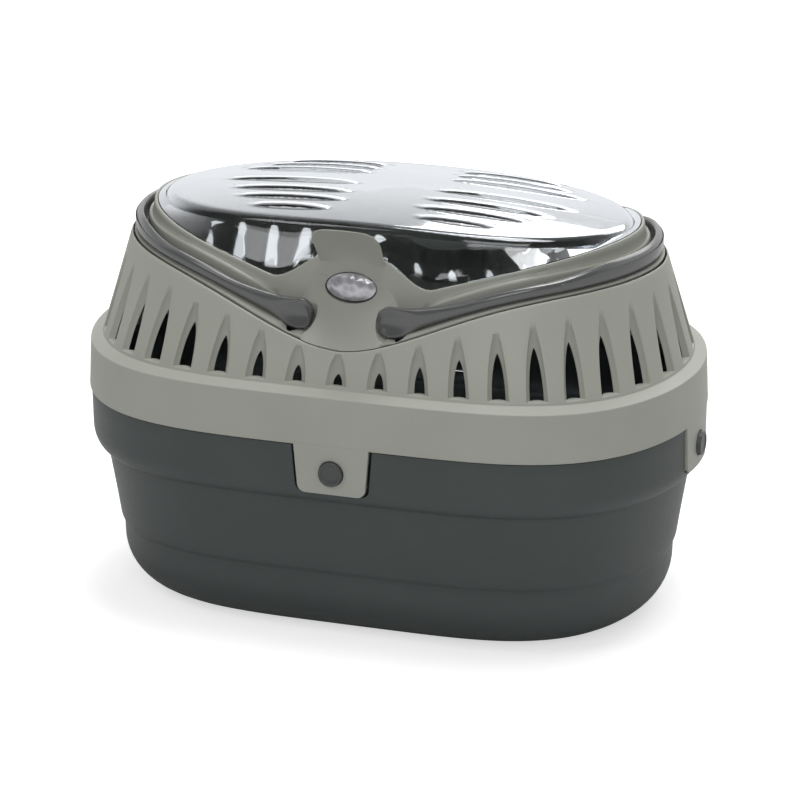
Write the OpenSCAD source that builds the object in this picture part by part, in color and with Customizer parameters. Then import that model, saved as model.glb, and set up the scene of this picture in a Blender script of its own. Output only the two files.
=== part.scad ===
/* [Overall] */
// Width of the rim across the two ends, without the buttons
rim_width = 300; // [280:5:330]
// Depth of the rim from front to back, without the buttons
rim_depth = 192; // [182:2:212]
// How square the plan is at its two ends
plan_end_power = 4.3; // [3.8:0.1:4.8]
// How square the plan is at its two ends, at the top of the cover
top_end_power = 3.3; // [3:0.1:3.6]
// How square the plan is at its front and back
plan_front_power = 1.9; // [1.8:0.1:2.2]
// Moulded wall of the cover and the frame
wall = 2.4; // [2:0.1:2.8]

/* [Tub] */
// Height of the tub from its base to the rim
tub_height = 102; // [92:2:130]
// Height of the wide belt under the rim
belt_height = 29; // [27:0.5:33]
// How far the belt stands in from the rim
belt_inset = 0.8; // [0.6:0.1:1]
// Step from the rim to the body under the belt
body_inset = 7.1; // [6.6:0.1:8.6]
// How much the body narrows from the belt to its foot
body_taper = 7.7; // [6:0.1:9]
// Height of the rounding under the belt
belt_round = 10; // [6:0.5:12]
// Width of the rounding round the base
base_round = 20; // [18:0.2:25]
// Height of the rounding round the base
base_round_height = 22; // [20:1:30]
// Height of the fine crease above the base
crease_height = 35; // [32:1:50]
// Wall of the tub body
tub_wall = 2.4; // [2:0.1:3]
// Wall of the belt and the neck
belt_wall = 2.8; // [2.4:0.1:3.2]
// Height of the neck that stands up inside the cover
neck_height = 8; // [5:0.5:12]

/* [Cover] */
// Height of the cover's skirt
skirt_height = 24; // [20:1:30]
// Width of the shoulder inside the skirt
shoulder_width = 6.6; // [6.4:0.1:7.4]
// Rise of the shoulder from the skirt to the vented wall
shoulder_rise = 3.5; // [3.3:0.1:5]
// Lean of the vented wall, in mm for each mm of height
wall_lean = 0.27; // [0.22:0.01:0.29]
// Height of the vented wall at its lowest place, front and back
lip_height = 15.4; // [14:0.1:18]
// Rise of the lip from there to the two ends
lip_rise = 31; // [28:0.5:33]
// Spread of the dip in the lip
lip_spread = 2.1; // [1.9:0.02:2.2]

/* [Vents] */
// Width of a vent at its base
vent_width = 6.5; // [4:0.5:8]
// Height of the lowest vent
vent_low_height = 3.8; // [3:0.2:5]
// Share of the lip's rise that the vents take
vent_rise_share = 0.62; // [0.4:0.02:0.66]

/* [Catches] */
// Width of a tab at its root
tab_width = 36.5; // [33:0.5:40]
// Width of a tab at its foot
tab_foot_width = 32.5; // [29:0.5:33]
// Length of a tab under the rim
tab_length = 23; // [22:0.5:24]
// Diameter of a catch button
button_diameter = 11.5; // [9:0.5:13]
// Depth of a button's centre under the rim
button_drop = 12.7; // [11.5:0.1:13]
// How far a button stands out of its tab
button_proud = 2; // [1:0.2:3]
// Travel of a button when pressed
button_travel = 4.6; // [4.4:0.1:5]
// Clearance round a button in its tab
button_clearance = 0.4; // [0.3:0.05:0.6]
// Thickness of a catch plate
catch_plate = 1.6; // [1.2:0.1:2]
// Width of a catch plate
catch_width = 25.2; // [20:0.4:26]

/* [Lid frame] */
// Height of the frame's outer step above the lip
step_height = 9; // [8:0.5:10.5]
// Height of the plate's top above the rim
plate_height = 79; // [77:0.5:82]
// Height of the ring at the foot of the plate above the rim
ring_low_height = 58.5; // [57:0.5:60]
// Rise of the ring to the two ends
ring_rise = 30.5; // [28:0.5:31]
// Width of the channel that the handles lie in
channel_width = 7.8; // [7.6:0.1:8.4]
// Thickness of the channel floor
floor_thickness = 1.2; // [1.1:0.1:1.6]
// Width of the finger tab
finger_width = 33.2; // [28:0.4:34]
// How far the finger tab leans out in front of the plate
finger_reach = 15.5; // [10:0.5:17]
// Height of the finger tab above the plate's top
finger_height = 20; // [16:0.5:21]
// Thickness of the finger tab
finger_thickness = 2.6; // [2:0.1:3]

/* [Window] */
// Height of the window's crown above the rim
dome_height = 98.4; // [98:0.2:103]
// Wall of the clear window
dome_wall = 2; // [1.6:0.1:2.4]
// Half width of the window's top
dome_half_width = 115; // [112:0.5:117]
// Distance of the top's front edge from the middle
dome_front = 53.5; // [50:0.5:56]
// Distance of the top's back edge from the middle
dome_back = 61; // [58:0.5:63]
// Width of a louvre slot
louvre_width = 2.2; // [1.6:0.2:3]

/* [Handles] */
// Height of a handle's band at the end of the keeper
band_height = 9.6; // [8:0.2:10.4]
// Height of a handle's band at its narrowest place
band_waist = 5.8; // [5:0.1:6.6]
// Thickness of a handle's band
band_thickness = 4.5; // [4:0.1:4.8]
// Diameter of the round pad at a handle's end
pad_diameter = 14.6; // [13:0.2:15]
// Distance of a handle's pivot from the middle
pivot_offset = 23.7; // [23.2:0.1:25]
// Height of the pivots above the rim
pivot_height = 56.4; // [56:0.1:57.6]
// Diameter of a pivot pin
pivot_pin_diameter = 3; // [2.4:0.2:4]
// Diameter of a hinge pin
hinge_pin_diameter = 2.5; // [2:0.1:3]

/* [Release button] */
// Width of the oval button
oval_width = 24.6; // [20:0.2:25]
// Height of the oval button
oval_height = 13.4; // [11:0.2:13.6]
// Clearance round the oval button
oval_clearance = 0.35; // [0.3:0.05:0.5]
// Travel of the oval button
oval_travel = 2.5; // [2:0.1:3]

/* [Hidden] */
$fn = 48;
SIDES = 72;
side_turn = 360 / SIDES;
half_w = rim_width / 2;
half_d = rim_depth / 2;
eps = 0.01;
seam_gap = 0.3;
slide_gap = 0.3;
run_fit = 0.05;
press_fit = 0.01;

// plan of the moulding
function plan_x(a, t) = a * sin(t);
function plan_m(t, p, q) = pow(max(0, 1 - pow(abs(sin(t)), p)), 1 / q);
function plan_y(b, t, p, q) = -sign(cos(t)) * b * plan_m(t, p, q);
function spot(inset, t, p = plan_end_power) =
  [plan_x(half_w - inset, t), plan_y(half_d - inset, t, p, plan_front_power)];
function ring(inset, z) = [for (i = [0:SIDES - 1]) let (s = spot(inset, i * side_turn)) [s[0], s[1], z]];
function ease(lo, hi, v) = let (k = min(1, max(0, (v - lo) / (hi - lo)))) k * k * (3 - 2 * k);

// closed skins through rings of the same count
function ring_quads(n, j0, j1) = [for (i = [0:n - 1]) let (k = (i + 1) % n)
  each [[j0 * n + i, j1 * n + i, j1 * n + k], [j0 * n + i, j1 * n + k, j0 * n + k]]];
module tube(rings) {
  n = len(rings[0]);
  m = len(rings);
  polyhedron(points = [for (r = rings) each r],
    faces = [for (j = [0:m - 1]) each ring_quads(n, j, (j + 1) % m)]);
}
module bowl(rings) {
  n = len(rings[0]);
  m = len(rings);
  polyhedron(points = [for (r = rings) each r], faces = concat([[for (i = [0:n - 1]) i]],
    [for (j = [0:m - 2]) each ring_quads(n, j, j + 1)], [[for (i = [n - 1:-1:0]) (m - 1) * n + i]]));
}
module strip(sections) {
  n = len(sections[0]);
  m = len(sections);
  polyhedron(points = [for (s = sections) each s], faces = concat([[for (i = [0:n - 1]) i]],
    [for (j = [0:m - 2]) each [for (i = [0:n - 1]) let (k = (i + 1) % n)
      each [[j * n + i, (j + 1) * n + k, j * n + k], [j * n + i, (j + 1) * n + i, (j + 1) * n + k]]]],
    [[for (i = [n - 1:-1:0]) (m - 1) * n + i]]));
}

// heights
rim_z = tub_height;
step_z = rim_z - belt_height;
skirt_top = rim_z + skirt_height;
vent_base = skirt_top + shoulder_rise;
vent_floor = vent_base + 0.6;
lip_low = vent_base + lip_height;
lip_power = 1.8;
function lip(t) = lip_low + lip_rise * (1 - exp(-pow(lip_spread * abs(sin(t)), lip_power)));
function end_power(z) = plan_end_power - (plan_end_power - top_end_power)
  * min(1, max(0, (z - vent_base) / (lip_height + lip_rise)));
function wall_inset(z) = shoulder_width + 0.6 + (z - vent_base) * wall_lean;
function lip_inset(t) = wall_inset(lip(t));

// tub
belt_foot = belt_inset + 0.4;
foot_inset = body_inset + body_taper;
base_inset = foot_inset + base_round;
neck_inset = wall + 0.9;
tab_bow = half_w * (1 - pow(1 - pow(catch_width / 2 / half_d, plan_front_power), 1 / plan_end_power));
plate_face = wall + tab_bow + slide_gap;
pocket_depth = plate_face + catch_plate + button_travel + slide_gap;
pocket_back = pocket_depth + 1.8;
round_steps = 6;
tub_rings = concat(
  [for (k = [0:round_steps]) let (g = 90 * k / round_steps)
    ring(base_inset - base_round * sin(g), base_round_height * (1 - cos(g)))],
  [ring(foot_inset - 1.2, crease_height - 0.3), ring(foot_inset - 1.8, crease_height + 0.3)],
  [for (k = [0:round_steps]) let (g = 90 * k / round_steps)
    ring(body_inset - (body_inset - belt_foot) * sin(g), step_z + belt_round * (1 - cos(g)))],
  [ring(belt_inset, rim_z - 1.2), ring(belt_inset + 0.4, rim_z), ring(neck_inset, rim_z)],
  [ring(neck_inset, rim_z + neck_height), ring(neck_inset + 2.3, rim_z + neck_height)],
  [ring(neck_inset + 2.3, rim_z - 3), ring(belt_inset + belt_wall, rim_z - 5.2)],
  [ring(belt_foot + belt_wall, step_z + belt_round), ring(body_inset + tub_wall, step_z + 1)],
  [ring(foot_inset + tub_wall, base_round_height)],
  [for (k = [round_steps - 1:-1:0]) let (g = 90 * k / round_steps)
    ring(base_inset - (base_round - tub_wall) * sin(g),
      tub_wall + (base_round_height - tub_wall) * (1 - cos(g)))]
);

// the four catch places, each in a frame with its face towards -Y
module at_front() {
  translate([0, -half_d, 0]) children();
}
module at_rear() {
  rotate([0, 0, 180]) translate([0, -half_d, 0]) children();
}
module at_left() {
  rotate([0, 0, -90]) translate([0, -half_w, 0]) children();
}
module at_right() {
  rotate([0, 0, 90]) translate([0, -half_w, 0]) children();
}
module at_catches() {
  at_front() children();
  at_rear() children();
  at_left() children();
  at_right() children();
}
// a piece of shell between two insets, round a direction
module shell_patch(t_mid, t_half, inset_out, inset_in, z0, z1) {
  strip([for (t = [t_mid - t_half:side_turn:t_mid + t_half])
    [[spot(inset_out, t)[0], spot(inset_out, t)[1], z0], [spot(inset_in, t)[0], spot(inset_in, t)[1], z0],
      [spot(inset_in, t)[0], spot(inset_in, t)[1], z1], [spot(inset_out, t)[0], spot(inset_out, t)[1], z1]]]);
}
end_half = 15;
front_half = 10;
module shell_patches(inset_out, inset_in, z0, z1) {
  shell_patch(0, front_half, inset_out, inset_in, z0, z1);
  shell_patch(180, front_half, inset_out, inset_in, z0, z1);
  shell_patch(90, end_half, inset_out, inset_in, z0, z1);
  shell_patch(270, end_half, inset_out, inset_in, z0, z1);
}
corner_cut = 3;
module tab_outline(grow) {
  top = tab_width / 2 + grow;
  foot = tab_foot_width / 2 + grow;
  low = rim_z - tab_length - grow;
  bevel = 0.3 * corner_cut;
  polygon([[-top, rim_z + 3], [-foot - 0.2, low + corner_cut], [-foot + bevel, low + bevel],
    [-foot + corner_cut, low], [foot - corner_cut, low], [foot - bevel, low + bevel],
    [foot + 0.2, low + corner_cut], [top, rim_z + 3]]);
}
module tab_prism(grow) {
  translate([0, 12, 0]) rotate([90, 0, 0]) linear_extrude(height = 16) tab_outline(grow);
}
tab_gap = 0.8;
button_z = rim_z - button_drop;
catch_half = button_diameter / 2 + 2.6;
plate_low = button_z - catch_half;
plate_high = button_z + catch_half;

module tub() {
  color([0.25, 0.27, 0.29])
  difference() {
    union() {
      bowl(tub_rings);
      at_catches() pocket_boss();
    }
    intersection() {
      shell_patches(-2, wall + slide_gap, rim_z - tab_length - tab_gap - 1, rim_z + 2);
      at_catches() tab_prism(tab_gap);
    }
    at_catches() catch_pocket();
  }
}
module pocket_boss() {
  translate([-boss_half, belt_inset + belt_wall - 0.6, boss_low])
    cube([2 * boss_half, pocket_back - belt_inset - belt_wall + 0.6, boss_high - boss_low]);
}
boss_half = max(catch_width / 2 + slide_gap + 2.4, tab_width / 2 + tab_gap + 1.4);
boss_low = rim_z - tab_length - tab_gap - 0.4;
boss_high = plate_high + slide_gap + 2.2;
module catch_pocket() {
  translate([-catch_width / 2 - slide_gap, -3, plate_low - slide_gap])
    cube([catch_width + 2 * slide_gap, pocket_depth + 3, 2 * (catch_half + slide_gap)]);
}

module catch_piece() {
  union() {
    translate([-catch_width / 2, plate_face, plate_low]) cube([catch_width, catch_plate, 2 * catch_half]);
    translate([0, plate_face + catch_plate / 2, button_z]) rotate([90, 0, 0])
      cylinder(h = plate_face + catch_plate / 2 + button_proud - button_crown, d = button_diameter);
    translate([0, button_crown - button_proud, button_z]) rotate([90, 0, 0])
      cylinder(h = button_crown, d1 = button_diameter, d2 = button_diameter - 2 * button_crown);
  }
}
button_crown = 0.8;
module front_catch() {
  color([0.3, 0.31, 0.31]) at_front() catch_piece();
}
module rear_catch() {
  color([0.3, 0.31, 0.31]) at_rear() catch_piece();
}
module left_catch() {
  color([0.3, 0.31, 0.31]) at_left() catch_piece();
}
module right_catch() {
  color([0.3, 0.31, 0.31]) at_right() catch_piece();
}

// cover
lip_round = 0.6;
wall_foot = vent_base + 1.2;
function wall_ring(share, extra, drop) = [for (i = [0:SIDES - 1]) let (t = 360 * i / SIDES,
  z = wall_foot + share * (lip(t) - drop - wall_foot), s = spot(wall_inset(z) + extra, t, end_power(z)))
  [s[0], s[1], z]];
cover_rings = [ring(0, rim_z), ring(1, skirt_top - 4), ring(1.6, skirt_top - 1.8), ring(3.2, skirt_top - 0.2),
  ring(shoulder_width - 0.8, vent_base - 2.3), ring(shoulder_width + 0.2, vent_base - 0.9),
  wall_ring(0, 0, 0),
  wall_ring(1, 0, lip_round), wall_ring(1, lip_round, 0), wall_ring(1, wall - lip_round, 0),
  wall_ring(1, wall, lip_round), wall_ring(0, wall, 0), ring(shoulder_width + wall, vent_base - 2.2),
  ring(shoulder_width - 0.6, vent_base - 2.4 - wall), ring(wall + 1.4, skirt_top - wall - 0.6),
  ring(wall + 0.4, skirt_top - wall - 2.4), ring(wall, rim_z)];
rib_reach = oval_travel - 0.3;
rib_height = 1.6;
rib_half = 7;
latch_face = half_d - wall_inset(lip_low) - wall;
rib_low = lip_low - 0.4 - rib_height;
module cover() {
  color([0.6, 0.6, 0.57])
  difference() {
    union() {
      tube(cover_rings);
      intersection() {
        shell_patches(0, wall, rim_z - tab_length - 1, rim_z + 2);
        at_catches() tab_prism(0);
      }
      translate([-rib_half, -latch_face - 1, rib_low]) cube([2 * rib_half, rib_reach + 1, rib_height]);
      hinge_ear(ear_in);
      hinge_ear(-ear_out);
    }
    at_catches() translate([0, 10, button_z]) rotate([90, 0, 0])
      cylinder(h = 20, d = button_diameter + 2 * button_clearance);
    vent_cuts();
    hinge_bore(press_fit);
  }
}

// vents at even steps round the wall
vents_quarter = 10;
function vent_turn(k) = 8 * k + 0.01 * pow(k, 3);
vent_turns = concat([for (k = [0:vents_quarter]) vent_turn(k)],
  [for (k = [0:vents_quarter - 1]) 180 - vent_turn(k)]);
module vent_cuts() {
  for (t = vent_turns) {
    vent_cut(t);
    if (abs(sin(t)) > eps) vent_cut(-t);
  }
}
function plan_turn(t) = let (h = spot(shoulder_width, t + 0.5), l = spot(shoulder_width, t - 0.5))
  atan2(h[1] - l[1], h[0] - l[0]);
module vent_cut(t) {
  s = spot(shoulder_width, t);
  h = vent_low_height + vent_rise_share * (lip(t) - lip_low);
  w = vent_width / 2;
  translate([s[0], s[1], vent_floor + 1]) rotate([0, 0, plan_turn(t)])
    translate([0, wall + 4 + wall_lean * h + 3, 0]) rotate([90, 0, 0])
      linear_extrude(height = wall + 4 + wall_lean * h + 7)
        polygon([[-w, 0], [w, 0], [0.86 * w, 0.35 * h], [0.6 * w, 0.7 * h], [0.28 * w, 0.92 * h], [0, h],
          [-0.28 * w, 0.92 * h], [-0.6 * w, 0.7 * h], [-0.86 * w, 0.35 * h]]);
}

// hinge at the back of the lid
knuckle = hinge_pin_diameter / 2 + 2.15;
hinge_y = half_d - wall_inset(lip_low) + knuckle + 1.1;
hinge_z = lip_low + 3.3;
ear_in = 16.4;
ear_out = 22;
ear_drop = 10;
knuckle_in = 8;
knuckle_out = 16;
module hinge_ear(x) {
  foot_y = half_d - wall_inset(lip_low - ear_drop);
  ear_back = hinge_y + knuckle;
  ear_front = hinge_y - knuckle + 0.2;
  translate([x, 0, 0]) rotate([90, 0, 90]) linear_extrude(height = ear_out - ear_in)
    polygon([[foot_y - 1.8, lip_low - ear_drop], [foot_y + 0.4, lip_low - ear_drop],
      [ear_back - 0.6, hinge_z - 3.4], [ear_back - 0.02, hinge_z], [ear_front, hinge_z],
      [ear_front, lip_low - 0.6], [foot_y - 3.2, lip_low - 0.6]]);
  translate([x, hinge_y, hinge_z]) rotate([0, 90, 0]) cylinder(h = ear_out - ear_in, r = knuckle);
}
module hinge_bore(fit) {
  translate([-ear_out - 1, hinge_y, hinge_z]) rotate([0, 90, 0])
    cylinder(h = 2 * ear_out + 2, d = hinge_pin_diameter + 2 * fit);
}
module lid_hinge_pins() {
  color([0.6, 0.6, 0.57]) {
    translate([knuckle_in - 0.4, hinge_y, hinge_z]) rotate([0, 90, 0])
      cylinder(h = ear_out - knuckle_in + 0.4, d = hinge_pin_diameter);
    translate([-ear_out, hinge_y, hinge_z]) rotate([0, 90, 0])
      cylinder(h = ear_out - knuckle_in + 0.4, d = hinge_pin_diameter);
  }
}

// lid frame
riser_a = half_w - lip_inset(90) - channel_width;
pad_step = 6.5;
riser_b = half_d - lip_inset(0) - channel_width - pad_step;
function reach_x(t) = riser_a * abs(sin(t));
plate_half = 41;
ring_power = 1.3;
function seam(t) = lip(t) + seam_gap;
function ring_top(t) = rim_z + ring_low_height + ring_rise * (1 - pow(1 - reach_x(t) / riser_a, ring_power))
  + (plate_height - ring_low_height) * (1 - ease(10, plate_half, reach_x(t)));
function step_top(t) = min(seam(t) + step_height, ring_top(t) - 2.2);
function step_width(t) = 0.15 + 1.2 * ease(30, 60, reach_x(t));
plate_lean = 0.18;
function ring_in(t) = 0.9 + step_width(t) + plate_lean * (ring_top(t) - step_top(t));
frame_wall = 1.5;
seat_width = dome_wall + 0.6;
seat_height = 1.8;
function seat(t) = ring_top(t) - 8 + 6.3 * (1 - ease(14, 34, reach_x(t)));
function frame_spot(d, t, z) =
  [plan_x(riser_a - d, t), plan_y(riser_b - d, t, top_end_power, plan_front_power), z];
function lip_spot(d, t, z) = let (s = spot(lip_inset(t) + d, t, end_power(lip(t)))) [s[0], s[1], z];
floor_back = 1.4;
function frame_section(t) = let (floor_z = seam(t) + floor_thickness, d = ring_in(t)) [
  lip_spot(floor_back, t, seam(t)), lip_spot(floor_back, t, floor_z - 0.4),
  lip_spot(floor_back + 0.4, t, floor_z),
  frame_spot(-0.7, t, floor_z), frame_spot(0, t, floor_z + 0.7), frame_spot(0.7, t, step_top(t)),
  frame_spot(0.7 + step_width(t), t, step_top(t) + 0.3), frame_spot(d, t, ring_top(t) - 0.5),
  frame_spot(d + 0.5, t, ring_top(t)), frame_spot(d + frame_wall, t, ring_top(t)),
  frame_spot(d + frame_wall, t, seat(t)), frame_spot(d + frame_wall + seat_width, t, seat(t)),
  frame_spot(d + frame_wall + seat_width, t, seat(t) - seat_height), frame_spot(2.6, t, seam(t))];
frame_sections = [for (i = [0:SIDES - 1]) frame_section(360 * i / SIDES)];
frame_rings = [for (j = [0:len(frame_sections[0]) - 1]) [for (s = frame_sections) s[j]]];

// the hollow face between the pads, which sinks into the ring at its two ends
valley_rise = 28;
valley_steps = 7;
valley_top_y = riser_b - 4.4;
valley_wall_y = riser_b - 1.2;
valley_turn = 15;
function mix(a, b, g) = a + (b - a) * g;
function valley_foot(t) = half_d - lip_inset(t) - 0.5;
function valley_section(t) = let (g = ease(7, 14, abs(t)), x = lip_spot(0, t, 0)[0], z0 = seam(t) + 0.3,
  rise = mix(valley_rise, step_top(t) - z0 - 1, g), y1 = mix(valley_top_y, valley_wall_y, g))
  concat([[x, -riser_b + 1.6, z0], [x, -mix(valley_foot(t), valley_wall_y, g), z0]],
    [for (k = [1:valley_steps])
      let (u = k / valley_steps, y = mix(valley_foot(t), valley_top_y, 1 - pow(1 - u, 1.8)))
        [x, -mix(y, valley_wall_y, g), z0 + 0.4 + (rise - 0.4) * u]],
    [[x, -y1 + mix(frame_wall, 0.4, g), z0 + rise]]);
function reversed(list) = [for (k = [len(list) - 1:-1:0]) list[k]];
module valley() {
  strip([for (t = [-valley_turn:side_turn / 2:valley_turn]) reversed(valley_section(t))]);
}
pivot_z = rim_z + pivot_height;
pad_room = 2;
pad_clearance = 0.8;
pad_back = riser_b + 0.9;
module pad_pockets(room) {
  for (x = [-pivot_offset, pivot_offset])
    translate([x, -riser_b - 0.3, pivot_z]) rotate([90, 0, 0])
      cylinder(h = half_d - riser_b, d = pad_diameter + 2 * room);
}
boss_diameter = pivot_pin_diameter + 5;
boss_back = riser_b - 8;
module pivot_bosses() {
  for (x = [-pivot_offset, pivot_offset])
    translate([x, -boss_back, pivot_z]) rotate([90, 0, 0])
      cylinder(h = riser_b - 1.6 - boss_back, d = boss_diameter);
}
pin_front = riser_b + 5.8;
module pivot_bores(fit) {
  for (x = [-pivot_offset, pivot_offset])
    translate([x, -boss_back + 1, pivot_z]) rotate([90, 0, 0])
      cylinder(h = pin_front + 1 - boss_back, d = pivot_pin_diameter + 2 * fit);
}
module pivot_pins() {
  for (x = [-pivot_offset, pivot_offset])
    translate([x, -boss_back - 0.5, pivot_z]) rotate([90, 0, 0])
      cylinder(h = pin_front - boss_back - 0.5, d = pivot_pin_diameter);
}
module handle_pivot_pins() {
  color([0.35, 0.35, 0.35]) {
    pivot_pins();
    rotate([0, 0, 180]) pivot_pins();
  }
}

plate_y = riser_b - ring_in(0);
plate_z = rim_z + plate_height;
finger_corner = 5.5;
finger_half = finger_width / 2;
finger_top = plate_z + finger_height;
finger_bend = plate_z + 0.55 * finger_height;
// one side of the finger tab's outline, from its root to its rounded corner
function finger_side(side) = concat(
  [[side * (finger_half - 1.2), plate_z - 6], [side * finger_half, plate_z + 0.5 * finger_height]],
  [for (g = [0:15:90]) [side * (finger_half - finger_corner * (1 - cos(g)) - 0.2),
    finger_top - finger_corner * (1 - sin(g))]]);
module finger_tab() {
  tip_y = -plate_y - finger_reach;
  bend_y = -plate_y - 0.5 * finger_reach;
  finger_back = -plate_y + frame_wall - 0.8;
  intersection() {
    translate([-half_w, 0, 0]) rotate([90, 0, 90]) linear_extrude(height = rim_width)
      polygon([[-plate_y - 0.4, plate_z - 5], [-plate_y - 2.6, plate_z + 0.2 * finger_height],
        [bend_y, finger_bend], [tip_y, finger_top - 1.9], [tip_y + 0.7, finger_top],
        [bend_y + 0.9, finger_bend + finger_thickness], [-plate_y + 0.6, plate_z + 0.2 * finger_height],
        [finger_back, plate_z - 0.6], [finger_back, plate_z - 5]]);
    rotate([90, 0, 0]) linear_extrude(height = half_d)
      polygon(concat(finger_side(1), reversed(finger_side(-1))));
  }
}
oval_z = pivot_z + 11.9;
function oval(w, h) = [for (k = [0:47]) [w / 2 * cos(k * 7.5), h / 2 * sin(k * 7.5)]];
module oval_prism(w, h, y0, y1) {
  translate([0, -y1, oval_z]) rotate([90, 0, 0]) linear_extrude(height = y0 - y1) polygon(oval(w, h));
}
arm_y = hinge_y - 9.2;
module hinge_knuckles() {
  for (x = [knuckle_in, -knuckle_out]) translate([x, 0, 0]) {
    translate([0, hinge_y, hinge_z]) rotate([0, 90, 0]) cylinder(h = knuckle_out - knuckle_in, r = knuckle);
    rotate([90, 0, 90]) linear_extrude(height = knuckle_out - knuckle_in)
      polygon([[hinge_y, hinge_z + knuckle - 0.02], [hinge_y - 0.4, hinge_z - knuckle + 0.1],
        [hinge_y - 3, hinge_z - 1.3], [hinge_y - knuckle - 0.4, hinge_z - 0.7], [arm_y, hinge_z - 0.7],
        [arm_y, hinge_z + 2], [hinge_y - 4.2, hinge_z + knuckle - 0.02]]);
  }
}
flange_wide = oval_width + 4;
flange_high = oval_height + 1.7;
flange_front = plate_y - 1.5;
flange_plate = 1.6;
lens_room = plate_y - 12;
module lid_frame() {
  color([0.63, 0.63, 0.6])
  difference() {
    union() {
      tube(frame_rings);
      difference() {
        union() {
          valley();
          rotate([0, 0, 180]) valley();
        }
        pad_pockets(pad_room);
        rotate([0, 0, 180]) pad_pockets(pad_room);
      }
      pivot_bosses();
      rotate([0, 0, 180]) pivot_bosses();
      finger_tab();
      hinge_knuckles();
    }
    oval_prism(oval_width + 2 * oval_clearance, oval_height + 2 * oval_clearance, half_d, lens_room);
    oval_prism(flange_wide + 2 * slide_gap, flange_high + 2 * slide_gap, flange_front + slide_gap, lens_room);
    pad_pockets(pad_clearance);
    rotate([0, 0, 180]) pad_pockets(pad_clearance);
    pivot_bores(press_fit);
    rotate([0, 0, 180]) pivot_bores(press_fit);
    hinge_bore(run_fit);
  }
}

// release button
oval_face = plate_y + 3.6;
hook_half = 5;
hook_thickness = 1.8;
hook_foot = 2.2;
hook_low = rib_low - 0.5 - hook_foot;
hook_back = flange_front - flange_plate - hook_thickness;
nose_y = latch_face - rib_reach - 0.4;
module oval_button() {
  color([0.85, 0.87, 0.9, 0.6])
  union() {
    oval_prism(oval_width, oval_height, oval_face, flange_front);
    oval_prism(flange_wide, flange_high, flange_front, flange_front - flange_plate);
    translate([-hook_half, -hook_back - hook_thickness, hook_low])
      cube([2 * hook_half, hook_thickness, oval_z - hook_low]);
    translate([-hook_half, -nose_y, hook_low]) cube([2 * hook_half, nose_y - hook_back, hook_foot]);
  }
}

// clear window
crown_bow_x = 0.00055;
crown_bow_y = 0.00137;
function crown(x, y) = rim_z + dome_height - crown_bow_x * x * x - crown_bow_y * y * y;
dome_front_power = 3.3;
dome_back_power = 2.6;
function dome_reach(t) = cos(t) > 0 ? dome_front : dome_back;
function dome_power(t) = cos(t) > 0 ? dome_front_power : dome_back_power;
function dome_spot(d, share, t, drop) = let (x = share * plan_x(dome_half_width - d, t),
  y = share * plan_y(dome_reach(t) - d, t, dome_power(t), plan_front_power)) [x, y, crown(x, y) - drop];
// a point kept no lower than the ring
function above(p, t, rise) = [p[0], p[1], max(p[2], ring_top(t) + rise)];
dome_in = 0.3;
dome_rest = 0.2;
function dome_section(t) = let (d = ring_in(t) + frame_wall + dome_in) concat(
  [for (k = [1:len(dome_shares)]) dome_spot(dome_wall + 3, dome_shares[k - 1], t, dome_wall)],
  [dome_spot(dome_wall + 3, 1, t, dome_wall + 0.2),
    above(dome_spot(dome_wall, 1, t, dome_wall + 2.4), t, -0.2)],
  [frame_spot(d + dome_wall, t, ring_top(t) - 0.4), frame_spot(d + dome_wall, t, seat(t) + dome_rest),
    frame_spot(d, t, seat(t) + dome_rest), frame_spot(d, t, ring_top(t))],
  [above(dome_spot(0, 1, t, 3.2), t, 0.2), dome_spot(0.9, 1, t, 1.1), dome_spot(3.2, 1, t, 0.05)],
  [for (k = [len(dome_shares):-1:1]) dome_spot(3.2, dome_shares[k - 1], t, 0)]);
dome_shares = [0.12, 0.4, 0.66, 0.86];
dome_sections = [for (i = [0:SIDES - 1]) dome_section(360 * i / SIDES)];
dome_last = len(dome_sections[0]) - 1;
function flat_cap(j, s, z) = (j == 0 || j == dome_last) ? [s[0], s[1], z] : s;
dome_rings = [for (j = [0:dome_last]) [for (s = dome_sections)
  flat_cap(j, s[j], rim_z + dome_height - 0.25 - (j == 0 ? dome_wall : 0))]];
// each row of louvres: its Y, and its inner and outer end
louvre_rows = [[-37.5, 19.5, 62.6], [-25.3, 14.5, 75], [-13.3, 15, 82], [1, 15, 91], [22.5, 14.4, 90.4],
  [32.4, 14.5, 81], [42.6, 14.8, 73]];
function louvre_side(side, row, way) = [for (k = [0:6]) let (u = way > 0 ? k / 6 : 1 - k / 6)
  [side * (row[1] + (row[2] - row[1]) * u), -way * 2 * louvre_width * u * (1 - u)]];
module louvre_cuts() {
  for (r = louvre_rows) for (side = [-1, 1])
    translate([0, r[0], plate_z]) linear_extrude(height = dome_height)
      polygon(concat(louvre_side(side, r, 1), louvre_side(side, r, -1)));
}
module dome_window() {
  color([0.85, 0.9, 0.95, 0.4])
  difference() {
    bowl(dome_rings);
    louvre_cuts();
  }
}

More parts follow.
